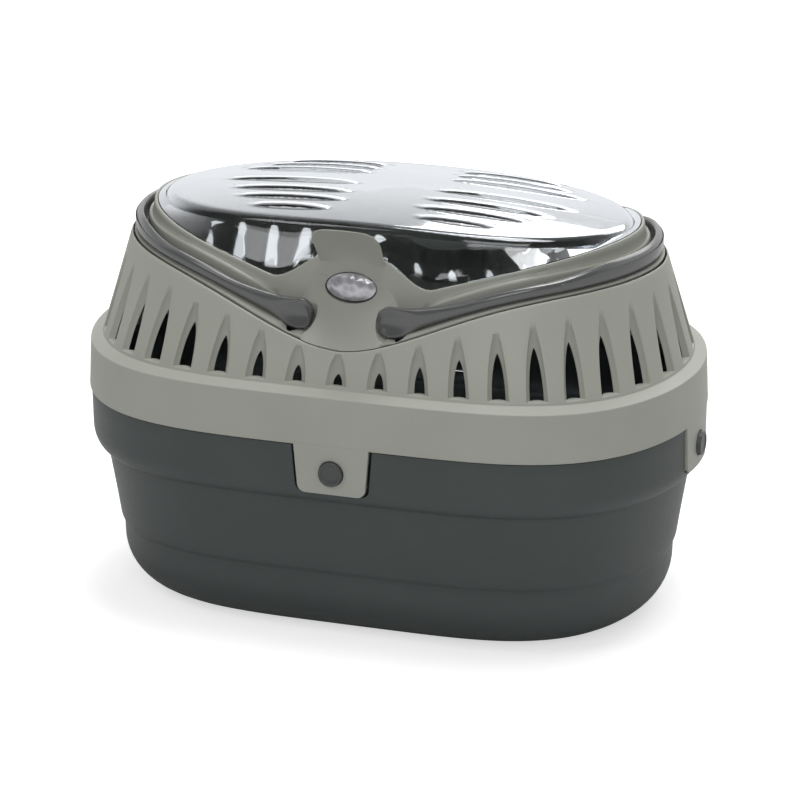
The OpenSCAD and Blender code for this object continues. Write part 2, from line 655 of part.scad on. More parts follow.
// handles
band_side_gap = 2.2;
handle_a = half_w - lip_inset(90) - band_side_gap;
pad_thickness = 6.1;
handle_b = pad_back + pad_thickness;
handle_lift = 0.4;
handle_start = 12;
band_steps = 30;
band_turn = (180 - 2 * handle_start) / band_steps;
flare = 6.6;
function flare_at(t) = flare * pow(max(0, 1 - (min(t, 180 - t) - handle_start) / 16), 1.6);
function band_low(t) = seam(t) + floor_thickness + handle_lift;
function band_high(t) =
  band_low(t) + band_waist + (band_height - band_waist) * ease(46, 68, min(t, 180 - t)) + flare_at(t);
function band_spot(d, t, z) =
  [plan_x(handle_a - d, t), plan_y(handle_b - d, t, top_end_power, plan_front_power), z];
band_round = 1.2;
function band_section(t) = let (z0 = band_low(t), z1 = band_high(t), w = band_thickness) [
  band_spot(0, t, z0 + band_round), band_spot(band_round, t, z0), band_spot(w - band_round, t, z0),
  band_spot(w, t, z0 + band_round), band_spot(w, t, z1 - band_round), band_spot(w - band_round, t, z1),
  band_spot(band_round, t, z1), band_spot(0, t, z1 - band_round)];
module handle_pad() {
  translate([pivot_offset, -pad_back, pivot_z]) rotate([90, 0, 0])
    cylinder(h = pad_thickness, d = pad_diameter);
}
module handle_bore() {
  translate([pivot_offset, -pad_back + 1, pivot_z]) rotate([90, 0, 0])
    cylinder(h = pin_front - pad_back + 1.3, d = pivot_pin_diameter + 2 * run_fit);
}
module handle() {
  difference() {
    union() {
      strip([for (k = [0:band_steps]) band_section(handle_start + k * band_turn)]);
      handle_pad();
      mirror([0, 1, 0]) handle_pad();
    }
    handle_bore();
    mirror([0, 1, 0]) handle_bore();
  }
}
module right_handle() {
  color([0.37, 0.37, 0.38]) handle();
}
module left_handle() {
  color([0.37, 0.37, 0.38]) mirror([1, 0, 0]) handle();
}

tub();
cover();
lid_frame();
dome_window();
oval_button();
left_handle();
right_handle();
handle_pivot_pins();
lid_hinge_pins();
front_catch();
rear_catch();
left_catch();
right_catch();
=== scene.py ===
import math

import bpy
import numpy as np
from bpy.props import FloatProperty, FloatVectorProperty, PointerProperty
from bpy.types import Operator, Panel, PropertyGroup
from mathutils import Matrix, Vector


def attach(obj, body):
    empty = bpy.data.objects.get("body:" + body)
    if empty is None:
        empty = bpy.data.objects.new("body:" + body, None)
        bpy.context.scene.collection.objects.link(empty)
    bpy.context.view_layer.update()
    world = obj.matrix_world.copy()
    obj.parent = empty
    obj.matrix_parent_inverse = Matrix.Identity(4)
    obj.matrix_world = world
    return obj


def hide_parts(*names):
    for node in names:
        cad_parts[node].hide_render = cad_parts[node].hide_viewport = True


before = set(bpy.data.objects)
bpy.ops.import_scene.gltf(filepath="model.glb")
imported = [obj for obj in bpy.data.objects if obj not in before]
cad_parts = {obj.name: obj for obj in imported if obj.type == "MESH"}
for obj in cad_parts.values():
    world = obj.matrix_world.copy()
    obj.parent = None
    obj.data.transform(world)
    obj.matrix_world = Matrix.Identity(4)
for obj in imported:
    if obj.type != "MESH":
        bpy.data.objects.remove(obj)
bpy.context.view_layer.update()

bl_info = {
    "name": "Plastic Pet Keeper",
    "version": (1, 0, 0),
    "blender": (4, 5, 0),
    "location": "3D View > Sidebar > Pet Keeper",
    "description": "Dresses the pet keeper's frame: tub, vented cover, hinged lid, handles and catches",
    "category": "Object",
}

MM = 0.001
TURN = 360.0
ROUND = 288       # columns of a piece that goes all round


def linear(text):
    """A linear colour from an sRGB hex value."""
    parts = [int(text[i:i + 2], 16) / 255 for i in (1, 3, 5)]
    return tuple(p / 12.92 if p <= 0.04045 else ((p + 0.055) / 1.055) ** 2.4 for p in parts)


def length(label, text, size):
    """A size in millimetres, kept in metres."""
    return FloatProperty(name=label, description=text, default=size * MM, min=0.0, unit="LENGTH", precision=4)


def tint(label, text, value):
    """A colour, written as an sRGB hex value and kept linear."""
    return FloatVectorProperty(name=label, description=text, default=linear(value), size=3, min=0.0, max=1.0,
                               subtype="COLOR")


class KeeperSizes(PropertyGroup):
    """Sizes that the pieces are worked out from"""
    rim_width: length("Rim width", "Width over the skirt, end to end", 300)
    rim_depth: length("Rim depth", "Depth over the skirt, front to back", 192)
    tub_height: length("Tub height", "Height of the tub's rim above the floor", 102)
    skirt_height: length("Skirt height", "Height of the cover's skirt", 24)
    tub_wall: length("Tub wall", "Wall of the tub", 2.4)
    moulded_wall: length("Moulded wall", "Wall of the cover and the frame", 2.4)
    vent_width: length("Vent width", "Width of an arched vent at its base", 6.5)
    button_diameter: length("Button diameter", "Diameter of a catch button", 11.5)
    finger_width: length("Finger tab width", "Width of the lid's finger tab", 33.2)
    window_wall: length("Window wall", "Wall of the clear window", 2.0)
    window_crown: length("Window crown", "Height of the window's crown above the rim", 98.4)
    band_height: length("Band height", "Height of a handle's band at the end of the keeper", 9.6)
    band_waist: length("Band waist", "Height of a handle's band at its narrowest place", 5.8)
    band_thickness: length("Band thickness", "Thickness of a handle's band", 4.5)
    lens_width: length("Lens width", "Width of the oval release lens", 24.6)
    lens_height: length("Lens height", "Height of the oval release lens", 13.4)


class KeeperColours(PropertyGroup):
    """Colours of the pieces and of the floor"""
    tub: tint("Tub", "Dark slate of the tub", "#3f4544")
    cover: tint("Cover", "Warm stone grey of the cover", "#a2a39a")
    # A shade darker than the cover's grey: painted shade for the lid's front face and finger tab.
    lid: tint("Lid frame", "Warm stone grey of the lid frame", "#999a92")
    handle: tint("Handles", "Dark grey of the two handles", "#555656")
    button: tint("Catches", "Dark grey of the catch buttons", "#474b49")
    window: tint("Window", "Tint of the clear window", "#e9eff4")
    lens: tint("Lens", "Tint of the clear release lens", "#dcdce2")
    floor: tint("Floor", "Pale studio floor", "#dcdcdc")


# ---------------------------------------------------------------- shared form

SIDES = {"front": 0, "right": 90, "rear": 180, "left": 270}     # the turn that each one faces
# How square the plan is, as powers: 2 is an ellipse, and more is squarer.
SIDE_POWER = 1.9
END_POWER = 4.3
FRAME_POWER = 3.3


def ease(low, high, value):
    """Goes smoothly from 0 at low to 1 at high."""
    k = np.clip((value - low) / (high - low), 0, 1)
    return k * k * (3 - 2 * k)


def mix(a, b, k):
    """Goes straight from a at 0 to b at 1."""
    return a + (b - a) * k


class Form:
    """The plan and the heights that all the pieces share, in mm. Turn 0 is the front, 90 the right end."""

    VENT_SILL = 3.5                     # from the skirt's top up to the foot of the wall
    WALL_FOOT, WALL_LEAN = 7.2, 0.27    # in from the skirt's face to the wall's foot, and more for each mm up
    WALL_MIDDLE, WALL_POWER = 12, 3.9   # in from the skirt's face to the wall halfway up, and its end power
    LIP_FOOT, LIP_RISE = 15.4, 31       # from the wall's foot to the lip's low places, and on to its ends
    SEAM = 0.12                         # gap between the lip and the lid
    CHANNEL_END, CHANNEL_FRONT = 7.8, 14.3      # from the lip in to the lid's riser
    RING_LOW = 58.5                     # of the ring over the tub's rim, beside the finger tab's plate
    RING_TO_END, RING_TO_PLATE = 30.5, 20.5     # its rise towards the ends, and up to the plate
    PLATE_FOOT, PLATE_SIDE = 10, 41     # it runs up to the plate between these places to the side
    SEAT_DROP = 8                       # of the window's ledge under the ring's top
    PIVOT_SIDE, PIVOT_UP = 23.7, 56.4   # of the handles' pivots from the middle, and over the tub's rim
    LENS_UP = 11.9                      # of the release lens over the pivots
    HINGE_OUT, HINGE_UP = 4.5, 3.3      # of the lid's hinge from the lip's low place
    CATCH_DROP = 12.7                   # of a catch button under the tub's rim
    WINDOW_SIDE, WINDOW_FRONT, WINDOW_BACK = 115, 53.5, 61      # half sizes of its plan
    CROWN_BOW_X, CROWN_BOW_Y = 0.00055, 0.00137     # how fast it falls away, for the square of the place

    def __init__(self):
        s = bpy.context.scene.keeper_sizes
        self.s = s
        self.half_w = s.rim_width / MM / 2
        self.half_d = s.rim_depth / MM / 2
        self.wall = s.moulded_wall / MM
        self.rim = s.tub_height / MM
        self.skirt = self.rim + s.skirt_height / MM
        self.vent_base = self.skirt + self.VENT_SILL
        self.vent_floor = self.vent_base - 0.3
        self.lip_low = self.vent_base + self.LIP_FOOT
        self.riser_a = self.half_w - self.lip_inset(90) - self.CHANNEL_END
        self.riser_b = self.half_d - self.lip_inset(0) - self.CHANNEL_FRONT
        self.pivot = (self.PIVOT_SIDE, self.rim + self.PIVOT_UP)
        self.plate_top = self.rim + self.RING_LOW + self.RING_TO_PLATE
        self.plate_y = self.riser_b - self.ring_in(0)
        self.lens_z = self.pivot[1] + self.LENS_UP
        self.lip_y = self.half_d - self.wall_inset(self.lip_low)
        self.hinge = (self.lip_y + self.HINGE_OUT, self.lip_low + self.HINGE_UP)
        self.catch_z = self.rim - self.CATCH_DROP

    def oval(self, a, b, turn, end=END_POWER):
        """A point of the plan whose half sizes are a and b; end is how square it is at its two ends."""
        r = np.radians(turn)
        m = np.power(np.maximum(0, 1 - np.abs(np.sin(r)) ** end), 1 / SIDE_POWER)
        return a * np.sin(r), -np.sign(np.round(np.cos(r), 9)) * b * m

    def end_power(self, z):
        """The plan gets rounder at its ends from the foot of the cover's wall to the lip."""
        return END_POWER - np.clip((z - self.vent_base) / (self.LIP_FOOT + self.LIP_RISE), 0, 1)

    def spot(self, inset, turn, end=END_POWER):
        """A point of the plan, a distance in from the skirt's face."""
        return self.oval(self.half_w - inset, self.half_d - inset, turn, end)

    def frame_spot(self, inset, turn):
        """A point of the lid's plan, a distance in from its riser."""
        return self.oval(self.riser_a - inset, self.riser_b - inset, turn, FRAME_POWER)

    def outward(self, turn):
        """The direction that the cover's wall faces, and its length for a degree of turn."""
        step = 0.4
        x0, y0 = self.spot(self.WALL_MIDDLE, turn - step, self.WALL_POWER)
        x1, y1 = self.spot(self.WALL_MIDDLE, turn + step, self.WALL_POWER)
        dx, dy = x1 - x0, y1 - y0
        size = np.hypot(dx, dy)
        return dy / size, -dx / size, size / (2 * step)

    def lip(self, turn):
        """Height of the cover's lip: low at the front and the back, high at the ends."""
        side = np.abs(np.sin(np.radians(turn)))
        return self.lip_low + self.LIP_RISE * (1 - np.exp(-(2.1 * side) ** 1.8))

    def wall_inset(self, z):
        """How far in the cover's wall is at a height."""
        return self.WALL_FOOT + (z - self.vent_base) * self.WALL_LEAN

    def lip_inset(self, turn):
        """How far in the lip is."""
        return self.wall_inset(self.lip(turn))

    def lip_spot(self, inset, turn):
        """A point of the plan, a distance in from the lip's outer edge."""
        return self.spot(self.lip_inset(turn) + inset, turn, self.end_power(self.lip(turn)))

    def seam(self, turn):
        """Height of the lid's foot, just over the lip."""
        return self.lip(turn) + self.SEAM

    def reach(self, turn):
        """How far to the side a turn is on the lid's riser."""
        return self.riser_a * np.abs(np.sin(np.radians(turn)))

    def ring_top(self, turn):
        """Height of the ring, which runs up to the finger tab's plate in the middle."""
        x = self.reach(turn)
        share = np.clip(1 - x / self.riser_a, 0, 1)
        return (self.rim + self.RING_LOW + self.RING_TO_END * (1 - share ** 1.3)
                + self.RING_TO_PLATE * (1 - ease(self.PLATE_FOOT, self.PLATE_SIDE, x)))

    def step_top(self, turn):
        """Height of the small step between the handles' channel and the ring."""
        return np.minimum(self.seam(turn) + 9, self.ring_top(turn) - 2.2)

    def step_width(self, turn):
        """Width of that step, which fades out towards the front and the back."""
        return 0.15 + 1.2 * ease(30, 60, self.reach(turn))

    def ring_in(self, turn):
        """How far the ring's inner edge is in from the riser."""
        return 0.9 + self.step_width(turn) + 0.18 * (self.ring_top(turn) - self.step_top(turn))

    def seat(self, turn):
        """Height of the ledge that carries the window."""
        return self.ring_top(turn) - self.SEAT_DROP + 6.3 * (1 - ease(14, 34, self.reach(turn)))

    def crown(self, x, y):
        """Height of the window's bowed top."""
        top = self.rim + self.s.window_crown / MM
        return top - self.CROWN_BOW_X * x * x - self.CROWN_BOW_Y * y * y

    def window_spot(self, inset, turn):
        """A point of the window's plan, a distance in from its edge. The back is rounder than the front."""
        r = np.radians(turn)
        back = np.cos(r) < 0
        x = (self.WINDOW_SIDE - inset) * np.sin(r)
        end = np.where(back, 2.6, FRAME_POWER)
        m = np.power(np.maximum(0, 1 - np.abs(np.sin(r)) ** end), 1 / SIDE_POWER)
        return x, np.where(back, (self.WINDOW_BACK - inset) * m, -(self.WINDOW_FRONT - inset) * m)


# ---------------------------------------------------------------- modelling tools

def clear_choice():
    """Deselects everything, because the operators act on all that is selected."""
    bpy.ops.object.select_all(action="DESELECT")


def pick(piece):
    """Selects one piece alone."""
    clear_choice()
    piece.select_set(True)
    bpy.context.view_layer.objects.active = piece


def edit(piece, *steps, faces=None):
    """Runs steps in edit mode, on the whole piece or on the faces that a mask names."""
    pick(piece)
    bpy.ops.object.mode_set(mode="EDIT")
    bpy.ops.mesh.select_all(action="SELECT")
    if faces is not None:
        bpy.ops.mesh.select_mode(type="FACE")
        bpy.ops.mesh.select_all(action="DESELECT")
        bpy.ops.object.mode_set(mode="OBJECT")
        piece.data.polygons.foreach_set("select", faces)
        bpy.ops.object.mode_set(mode="EDIT")
    for step in steps:
        step()
    bpy.ops.object.mode_set(mode="OBJECT")
    return piece


def rows_of(items, key):
    """A place of each vertex or face of a mesh, one row each."""
    flat = np.empty(len(items) * 3)
    items.foreach_get(key, flat)
    return flat.reshape(-1, 3)


def bent_grid(name, columns, rows, place, hole=None):
    """A flat grid whose vertices go where place(column, row) says, in mm. Its faces look to the left of up.
    The faces that hole(column, row) names are left out."""
    clear_choice()
    bpy.ops.mesh.primitive_grid_add(x_subdivisions=columns, y_subdivisions=rows, size=2)
    piece = bpy.context.object
    piece.name = name
    if hole:
        middle = (rows_of(piece.data.polygons, "center") + 1) / 2
        left_out = hole((middle[:, 0] * columns).astype(int), (middle[:, 1] * rows).astype(int))
        edit(piece, lambda: bpy.ops.mesh.delete(type="FACE"), faces=left_out)
    flat = rows_of(piece.data.vertices, "co")
    col = np.rint((flat[:, 0] + 1) / 2 * columns).astype(int)
    row = np.rint((flat[:, 1] + 1) / 2 * rows).astype(int)
    x, y, z = place(col, row)
    piece.data.vertices.foreach_set("co", (np.stack([x, y, z], 1) * MM).ravel())
    piece.data.update()
    return weld(piece)


def weld(piece):
    """Merges points closer than two thousandths of a millimetre."""
    return edit(piece, lambda: bpy.ops.mesh.remove_doubles(threshold=0.002 * MM))


def close_up(piece):
    """Fills the open ends and turns the faces outwards."""
    return edit(piece, lambda: bpy.ops.mesh.fill_holes(sides=0),
                lambda: bpy.ops.mesh.normals_make_consistent(inside=False))


def finish_with(piece, kind, **settings):
    """Adds a modifier and applies it."""
    pick(piece)
    mod = piece.modifiers.new(kind.title(), kind)
    for key, value in settings.items():
        setattr(mod, key, value)
    bpy.ops.object.modifier_apply(modifier=mod.name)
    return piece


def thicken(piece, wall, clamp=2.0):
    """Gives a sheet its wall. The clamp keeps sharp folds from crossing over; a plain sheet needs none."""
    return finish_with(piece, "SOLIDIFY", thickness=wall * MM, offset=-1, use_even_offset=True,
                       thickness_clamp=clamp)


def soften(piece, size, angle=40, segments=2):
    """Rounds the edges that turn by more than the angle."""
    return finish_with(piece, "BEVEL", width=size * MM, segments=segments, limit_method="ANGLE",
                       angle_limit=math.radians(angle), harden_normals=False)


def smooth(piece, angle):
    """Shades the piece smooth, apart from edges that turn by more than the angle."""
    pick(piece)
    bpy.ops.object.shade_smooth_by_angle(angle=math.radians(angle))
    return piece


def cut(piece, cutter):
    """Cuts one piece with another, which is used up."""
    finish_with(piece, "BOOLEAN", object=cutter, operation="DIFFERENCE", solver="EXACT")
    bpy.data.objects.remove(cutter)
    return piece


def join(pieces, name):
    """Makes one piece of several."""
    clear_choice()
    for piece in pieces:
        piece.select_set(True)
    bpy.context.view_layer.objects.active = pieces[0]
    bpy.ops.object.join()
    pieces[0].name = name
    pieces[0].data.name = name
    return pieces[0]


def settle(piece, **place):
    """Turns, scales or moves the object and keeps that in its mesh, with the object at the origin."""
    for key, value in place.items():
        setattr(piece, key, value)
    pick(piece)
    bpy.ops.object.transform_apply(location=True, rotation=True, scale=True)
    return piece


def drum(name, radius, x, y0, y1, z, sides=64):
    """A cylinder along Y, in mm."""
    clear_choice()
    bpy.ops.mesh.primitive_cylinder_add(vertices=sides, radius=radius * MM, depth=abs(y1 - y0) * MM,
                                        location=(x * MM, (y0 + y1) / 2 * MM, z * MM),
                                        rotation=(math.radians(90), 0, 0))
    bpy.context.object.name = name
    return settle(bpy.context.object)


def block(name, low, high):
    """A box between two corners, in mm."""
    clear_choice()
    bpy.ops.mesh.primitive_cube_add(size=1, location=[(a + b) / 2 * MM for a, b in zip(low, high)])
    piece = bpy.context.object
    piece.name = name
    return settle(piece, scale=[(b - a) * MM for a, b in zip(low, high)])


def bar(name, x0, x1, outline):
    """A bar along X whose outline is a list of (y, z), in mm."""
    count = len(outline)

    def place(col, row):
        y = np.array([p[0] for p in outline])[row % count]
        z = np.array([p[1] for p in outline])[row % count]
        return np.where(col == 0, x0, x1), y, z

    return close_up(bent_grid(name, 1, count, place))


def copy_of(piece, name):
    """A copy with its own mesh."""
    other = piece.copy()
    other.data = piece.data.copy()
    bpy.context.collection.objects.link(other)
    other.name = name
    return other


def face_side(piece, form, where):
    """Turns a piece that was made at the origin, facing the front, and moves it out to the skirt's face."""
    a = math.radians(where)
    reach = form.half_d if where in (0, 180) else form.half_w
    return settle(piece, rotation_euler=(0, 0, a),
                  location=(math.sin(a) * reach * MM, -math.cos(a) * reach * MM, 0))


def mirrored_copy(piece, name):
    """A copy mirrored from right to left, with its faces turned outwards again."""
    return edit(settle(copy_of(piece, name), scale=(-1, 1, 1)), bpy.ops.mesh.flip_normals)


# ---------------------------------------------------------------- materials

POLYSTYRENE_IOR = 1.55
CLEAR_WINDOW = "Clear polystyrene, moulded"
CLEAR_LENS = "Clear lens, faceted back"
FINISHES = {
    # Polypropylene, moulded in a fine spark-eroded tool: dark, matt, with a soft sheen on its round edges.
    "tub": {"name": "Polypropylene, slate, matt moulded", "rough": 0.45, "grain_mm": 0.7,
            "grain_depth_mm": 0.02, "mottle": 0.04},
    # Polypropylene, moulded in a stoned tool: warm stone grey, satin, nearly even.
    "cover": {"name": "Polypropylene, stone grey, satin moulded", "rough": 0.46, "grain_mm": 0.6,
              "grain_depth_mm": 0.014, "mottle": 0.025},
    # The same polypropylene as the cover, from another tool: smoother, and a shade darker, which is painted
    # shade for its front face and finger tab.
    "lid": {"name": "Polypropylene, lid grey, satin moulded", "rough": 0.42, "grain_mm": 0.6,
            "grain_depth_mm": 0.012, "mottle": 0.02},
    # Polypropylene, moulded in a polished tool: dark grey with a soft gloss that shows its hollows.
    "handle": {"name": "Polypropylene, dark grey, semi-gloss moulded", "rough": 0.19, "grain_mm": 0.8,
               "grain_depth_mm": 0.005, "mottle": 0.03, "specular": 1.0, "rough_spread": 0.04},
    # Acetal, moulded and close-grained: dark grey, satin, so that a pressed button slides.
    "button": {"name": "Acetal, dark grey, satin moulded", "rough": 0.38, "grain_mm": 0.5,
               "grain_depth_mm": 0.01, "mottle": 0.04},
}


def node(tree, kind, settings=None, inputs=None, links=None):
    """Adds one node with its settings, its input values and its links, given as {input: (node, output)}."""
    made = tree.nodes.new(kind)
    for key, value in (settings or {}).items():
        setattr(made, key, value)
    for key, value in (inputs or {}).items():
        made.inputs[key].default_value = value
    for key, (source, output) in (links or {}).items():
        tree.links.new(source.outputs[output], made.inputs[key])
    return made


def new_material(name):
    """An empty material and its node tree."""
    material = bpy.data.materials.new(name)
    material.use_nodes = True
    material.node_tree.nodes.clear()
    return material, material.node_tree


def moulded(name, colour, rough, grain_mm, grain_depth_mm, mottle, specular=0.5, rough_spread=0.08):
    """Injection-moulded plastic: an even colour with a slow mottle, and a grain from the tool that breaks up
    its gloss. The real grain is under 0.1 mm and is drawn coarser, so that it shows."""
    mottle_mm = 35
    material, tree = new_material(name)
    place = node(tree, "ShaderNodeTexCoord")
    slow = node(tree, "ShaderNodeTexNoise",
                inputs={"Scale": 1 / (mottle_mm * MM), "Detail": 2.0, "Roughness": 0.5},
                links={"Vector": (place, "Object")})
    ramp = node(tree, "ShaderNodeValToRGB", links={"Fac": (slow, "Fac")})
    for stop, where, factor in zip(ramp.color_ramp.elements, (0.3, 0.7), (1 - mottle, 1 + mottle)):
        stop.position = where
        stop.color = tuple(min(1, c * factor) for c in colour) + (1,)
    fine = node(tree, "ShaderNodeTexNoise",
                inputs={"Scale": 1 / (grain_mm * MM), "Detail": 3.0, "Roughness": 0.6},
                links={"Vector": (place, "Object")})
    gloss = node(tree, "ShaderNodeMapRange",
                 inputs={"From Min": 0.3, "From Max": 0.7, "To Min": rough - rough_spread,
                         "To Max": rough + rough_spread},
                 links={"Value": (fine, "Fac")})
    bump = node(tree, "ShaderNodeBump", inputs={"Strength": 1.0, "Distance": grain_depth_mm * MM},
                links={"Height": (fine, "Fac")})
    skin = node(tree, "ShaderNodeBsdfPrincipled", inputs={"IOR": 1.49, "Specular IOR Level": specular},
                links={"Base Color": (ramp, "Color"), "Roughness": (gloss, "Result"),
                       "Normal": (bump, "Normal")})
    node(tree, "ShaderNodeOutputMaterial", links={"Surface": (skin, "BSDF")})
    return material


def clear_polystyrene(colour):
    """Clear injection-moulded polystyrene: polished, with sink marks and with handling scratches that catch
    the light. It is mirror-like where it is seen at a flat angle. Where a louvre stands up it is painted an
    opaque milky white, a painted highlight for the glare on the louvre's top. A tenth of the light passes it
    on the way in."""
    scratch_mm, scratch_thin, sink_mm = 6, 6, 28
    material, tree = new_material(CLEAR_WINDOW)
    place = node(tree, "ShaderNodeTexCoord")
    stretch = node(tree, "ShaderNodeMapping", inputs={"Scale": (1.0, scratch_thin, 1.0)},
                   links={"Vector": (place, "Object")})
    marks = node(tree, "ShaderNodeTexNoise",
                 inputs={"Scale": 1 / (scratch_mm * MM), "Detail": 4.0, "Roughness": 0.7},
                 links={"Vector": (stretch, "Vector")})
    gloss = node(tree, "ShaderNodeMapRange",
                 inputs={"From Min": 0.45, "From Max": 0.75, "To Min": 0.02, "To Max": 0.1},
                 links={"Value": (marks, "Fac")})
    sink = node(tree, "ShaderNodeTexNoise", inputs={"Scale": 1 / (sink_mm * MM), "Detail": 1.0},
                links={"Vector": (place, "Object")})
    bump = node(tree, "ShaderNodeBump", inputs={"Strength": 0.5, "Distance": 0.2 * MM},
                links={"Height": (sink, "Fac")})
    glass = node(tree, "ShaderNodeBsdfPrincipled",
                 inputs={"Base Color": colour + (1,), "Transmission Weight": 1.0, "IOR": POLYSTYRENE_IOR},
                 links={"Roughness": (gloss, "Result"), "Normal": (bump, "Normal")})
    tilt = node(tree, "ShaderNodeLayerWeight", inputs={"Blend": 0.5}, links={"Normal": (bump, "Normal")})
    flat = node(tree, "ShaderNodeMapRange",
                inputs={"From Min": 0.27, "From Max": 0.8, "To Min": 0.0, "To Max": 0.94},
                links={"Value": (tilt, "Facing")})
    sheen = node(tree, "ShaderNodeBsdfGlossy", inputs={"Color": linear("#eceff3") + (1,)},
                 links={"Roughness": (gloss, "Result"), "Normal": (bump, "Normal")})
    clear = node(tree, "ShaderNodeMixShader",
                 links={0: (flat, "Result"), 1: (glass, "BSDF"), 2: (sheen, "BSDF")})
    # Painted highlight: where a louvre stands up, the window is painted an opaque milky white for the glare
    # on its top.
    frost = node(tree, "ShaderNodeAttribute", settings={"attribute_name": "frost"})
    glare_share = node(tree, "ShaderNodeMapRange",
                inputs={"From Min": 0.05, "From Max": 0.5, "To Min": 0.0, "To Max": 0.85},
                links={"Value": (frost, "Fac")})
    glare_white = node(tree, "ShaderNodeBsdfPrincipled",
                inputs={"Base Color": linear("#f4f5f6") + (1,), "Roughness": 0.25, "IOR": POLYSTYRENE_IOR})
    body = node(tree, "ShaderNodeMixShader",
                links={0: (glare_share, "Result"), 1: (clear, "Shader"), 2: (glare_white, "BSDF")})
    path = node(tree, "ShaderNodeLightPath")
    through = node(tree, "ShaderNodeBsdfTransparent", inputs={"Color": (0.1, 0.1, 0.11, 1)})
    both = node(tree, "ShaderNodeMixShader", links={0: (path, "Is Shadow Ray"), 1: (body, "Shader"),
                                                    2: (through, "BSDF")})
    node(tree, "ShaderNodeOutputMaterial", links={"Surface": (both, "Shader")})
    return material


def clear_lens(colour):
    """Clear polystyrene, moulded over a faceted back: silvery, with painted shade darker towards the middle
    of each facet, standing in for the reflections that its facets break up.
    """
    facet_mm = 3.6
    material, tree = new_material(CLEAR_LENS)
    place = node(tree, "ShaderNodeTexCoord")
    facets = node(tree, "ShaderNodeTexVoronoi", settings={"feature": "F1"},
                  inputs={"Scale": 1 / (facet_mm * MM)}, links={"Vector": (place, "Object")})
    bump = node(tree, "ShaderNodeBump", inputs={"Strength": 0.7, "Distance": 0.6 * MM},
                links={"Height": (facets, "Distance")})
    # Painted shade: each facet's colour is darker towards its middle, for how the facets break up the light.
    shade = node(tree, "ShaderNodeValToRGB", links={"Fac": (facets, "Distance")})
    shade.color_ramp.elements[0].color = tuple(c * 0.55 for c in colour) + (1,)
    shade.color_ramp.elements[1].position = 0.8
    shade.color_ramp.elements[1].color = colour + (1,)
    skin = node(tree, "ShaderNodeBsdfPrincipled",
                inputs={"Roughness": 0.16, "IOR": POLYSTYRENE_IOR, "Metallic": 0.35, "Coat Weight": 1.0,
                        "Coat Roughness": 0.03, "Transmission Weight": 0.25},
                links={"Base Color": (shade, "Color"), "Normal": (bump, "Normal")})
    node(tree, "ShaderNodeOutputMaterial", links={"Surface": (skin, "BSDF")})
    return material


def material_for(part):
    """The finish of each kind of part, made once."""
    colours = bpy.context.scene.keeper_colours
    made = bpy.data.materials.get
    if part == "window":
        return made(CLEAR_WINDOW) or clear_polystyrene(tuple(colours.window))
    if part == "lens":
        return made(CLEAR_LENS) or clear_lens(tuple(colours.lens))
    finish = FINISHES[part]
    return made(finish["name"]) or moulded(colour=tuple(getattr(colours, part)), **finish)


def dress(piece, part, slot, body, *nodes):
    """Gives a piece its material and its body, and hides the CAD nodes that it stands for.
    The slot is not used.
    """
    piece.data.materials.clear()
    piece.data.materials.append(material_for(part))
    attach(piece, body)
    if nodes:
        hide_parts(*nodes)
    return piece


# ---------------------------------------------------------------- tub

TAB_DROP = 23          # how far a catch tab hangs below the tub's rim
TAB_CORNER = 3.6       # radius of its lower corners
TAB_HALF = 16.25       # half its width at its foot
TAB_SPREAD = 2.0       # how much more that is at the rim
TAB_GAP = 0.4          # between a tab and its recess


def side_spot(form, where, inset, h):
    """A point of the plan, a distance in from the skirt's face and at h along the side that faces the turn
    where."""
    a, b = form.half_w - inset, form.half_d - inset
    if where in (0, 180):
        y = b * np.power(np.maximum(0, 1 - np.abs(h / a) ** END_POWER), 1 / SIDE_POWER)
        return (h, -y) if where == 0 else (-h, y)
    x = a * np.power(np.maximum(0, 1 - np.abs(h / b) ** SIDE_POWER), 1 / END_POWER)
    return (x, h) if where == 90 else (-x, -h)


def tab_half(form, z, grow):
    """Half the width of a catch tab at a height: a trapezium with round lower corners, larger all round by
    grow."""
    low = form.rim - TAB_DROP - grow
    half = TAB_HALF + TAB_SPREAD * (z - low) / TAB_DROP + grow
    dip = np.clip(low + TAB_CORNER - z, 0, TAB_CORNER)
    return half - (TAB_CORNER - np.sqrt(np.maximum(0, TAB_CORNER ** 2 - dip ** 2)))


def tab_rows(form, grow, top):
    """The heights of a tab's rows: close together round its lower corners, then even up to the top."""
    low = form.rim - TAB_DROP - grow
    corner = [low + TAB_CORNER * (1 - math.cos(math.radians(a))) for a in range(0, 90, 11)]
    return np.array(corner + list(np.linspace(low + TAB_CORNER, top, 22)))


def tub_shell(form):
    """Foot, body, belt and neck as one line turned round the plan, from the middle of the base up. Each point
    is how far in from the skirt's face it is, and its height on a tub that is 102 high."""
    drawn_rim = 102
    flat_edge, foot_in, foot_up = 41.3, 26.5, 26
    foot = [(flat_edge - foot_in * math.sin(g), foot_up * (1 - math.cos(g)))
            for g in np.radians(np.linspace(0, 90, 17))]
    body = [(14.7, 30), (14.35, 33.6), (13.9, 34.6), (13.45, 35.1), (13.15, 35.9), (12.9, 37), (11.6, 46),
            (10.2, 55), (8.9, 63), (7.6, 71.4), (7.35, 72.7), (6.9, 73.15)]
    belt = [(7.1 - 5.9 * math.sin(g), 73 + 10 * (1 - math.cos(g)))
            for g in np.radians(np.linspace(8, 90, 14))]
    belt += [(1.1, 88), (1.0, 95), (0.8, 100.8), (0.9, 101.5), (1.3, 101.95), (2.2, 102)]
    neck = [(3.1, 102), (3.3, 102.6), (3.3, 109.4), (3.6, 110)]
    line = foot + body + belt + neck
    insets = np.array([flat_edge, flat_edge] + [p[0] for p in line])
    heights = np.array([0, 0] + [p[1] for p in line]) * form.rim / drawn_rim
    share = np.array([0.02, 0.5] + [1.0] * len(line))

    def place(col, row):
        x, y = form.spot(insets[row], col * TURN / ROUND)
        return x * share[row], y * share[row], heights[row]

    return bent_grid("deep_tub", ROUND, len(insets) - 1, place)


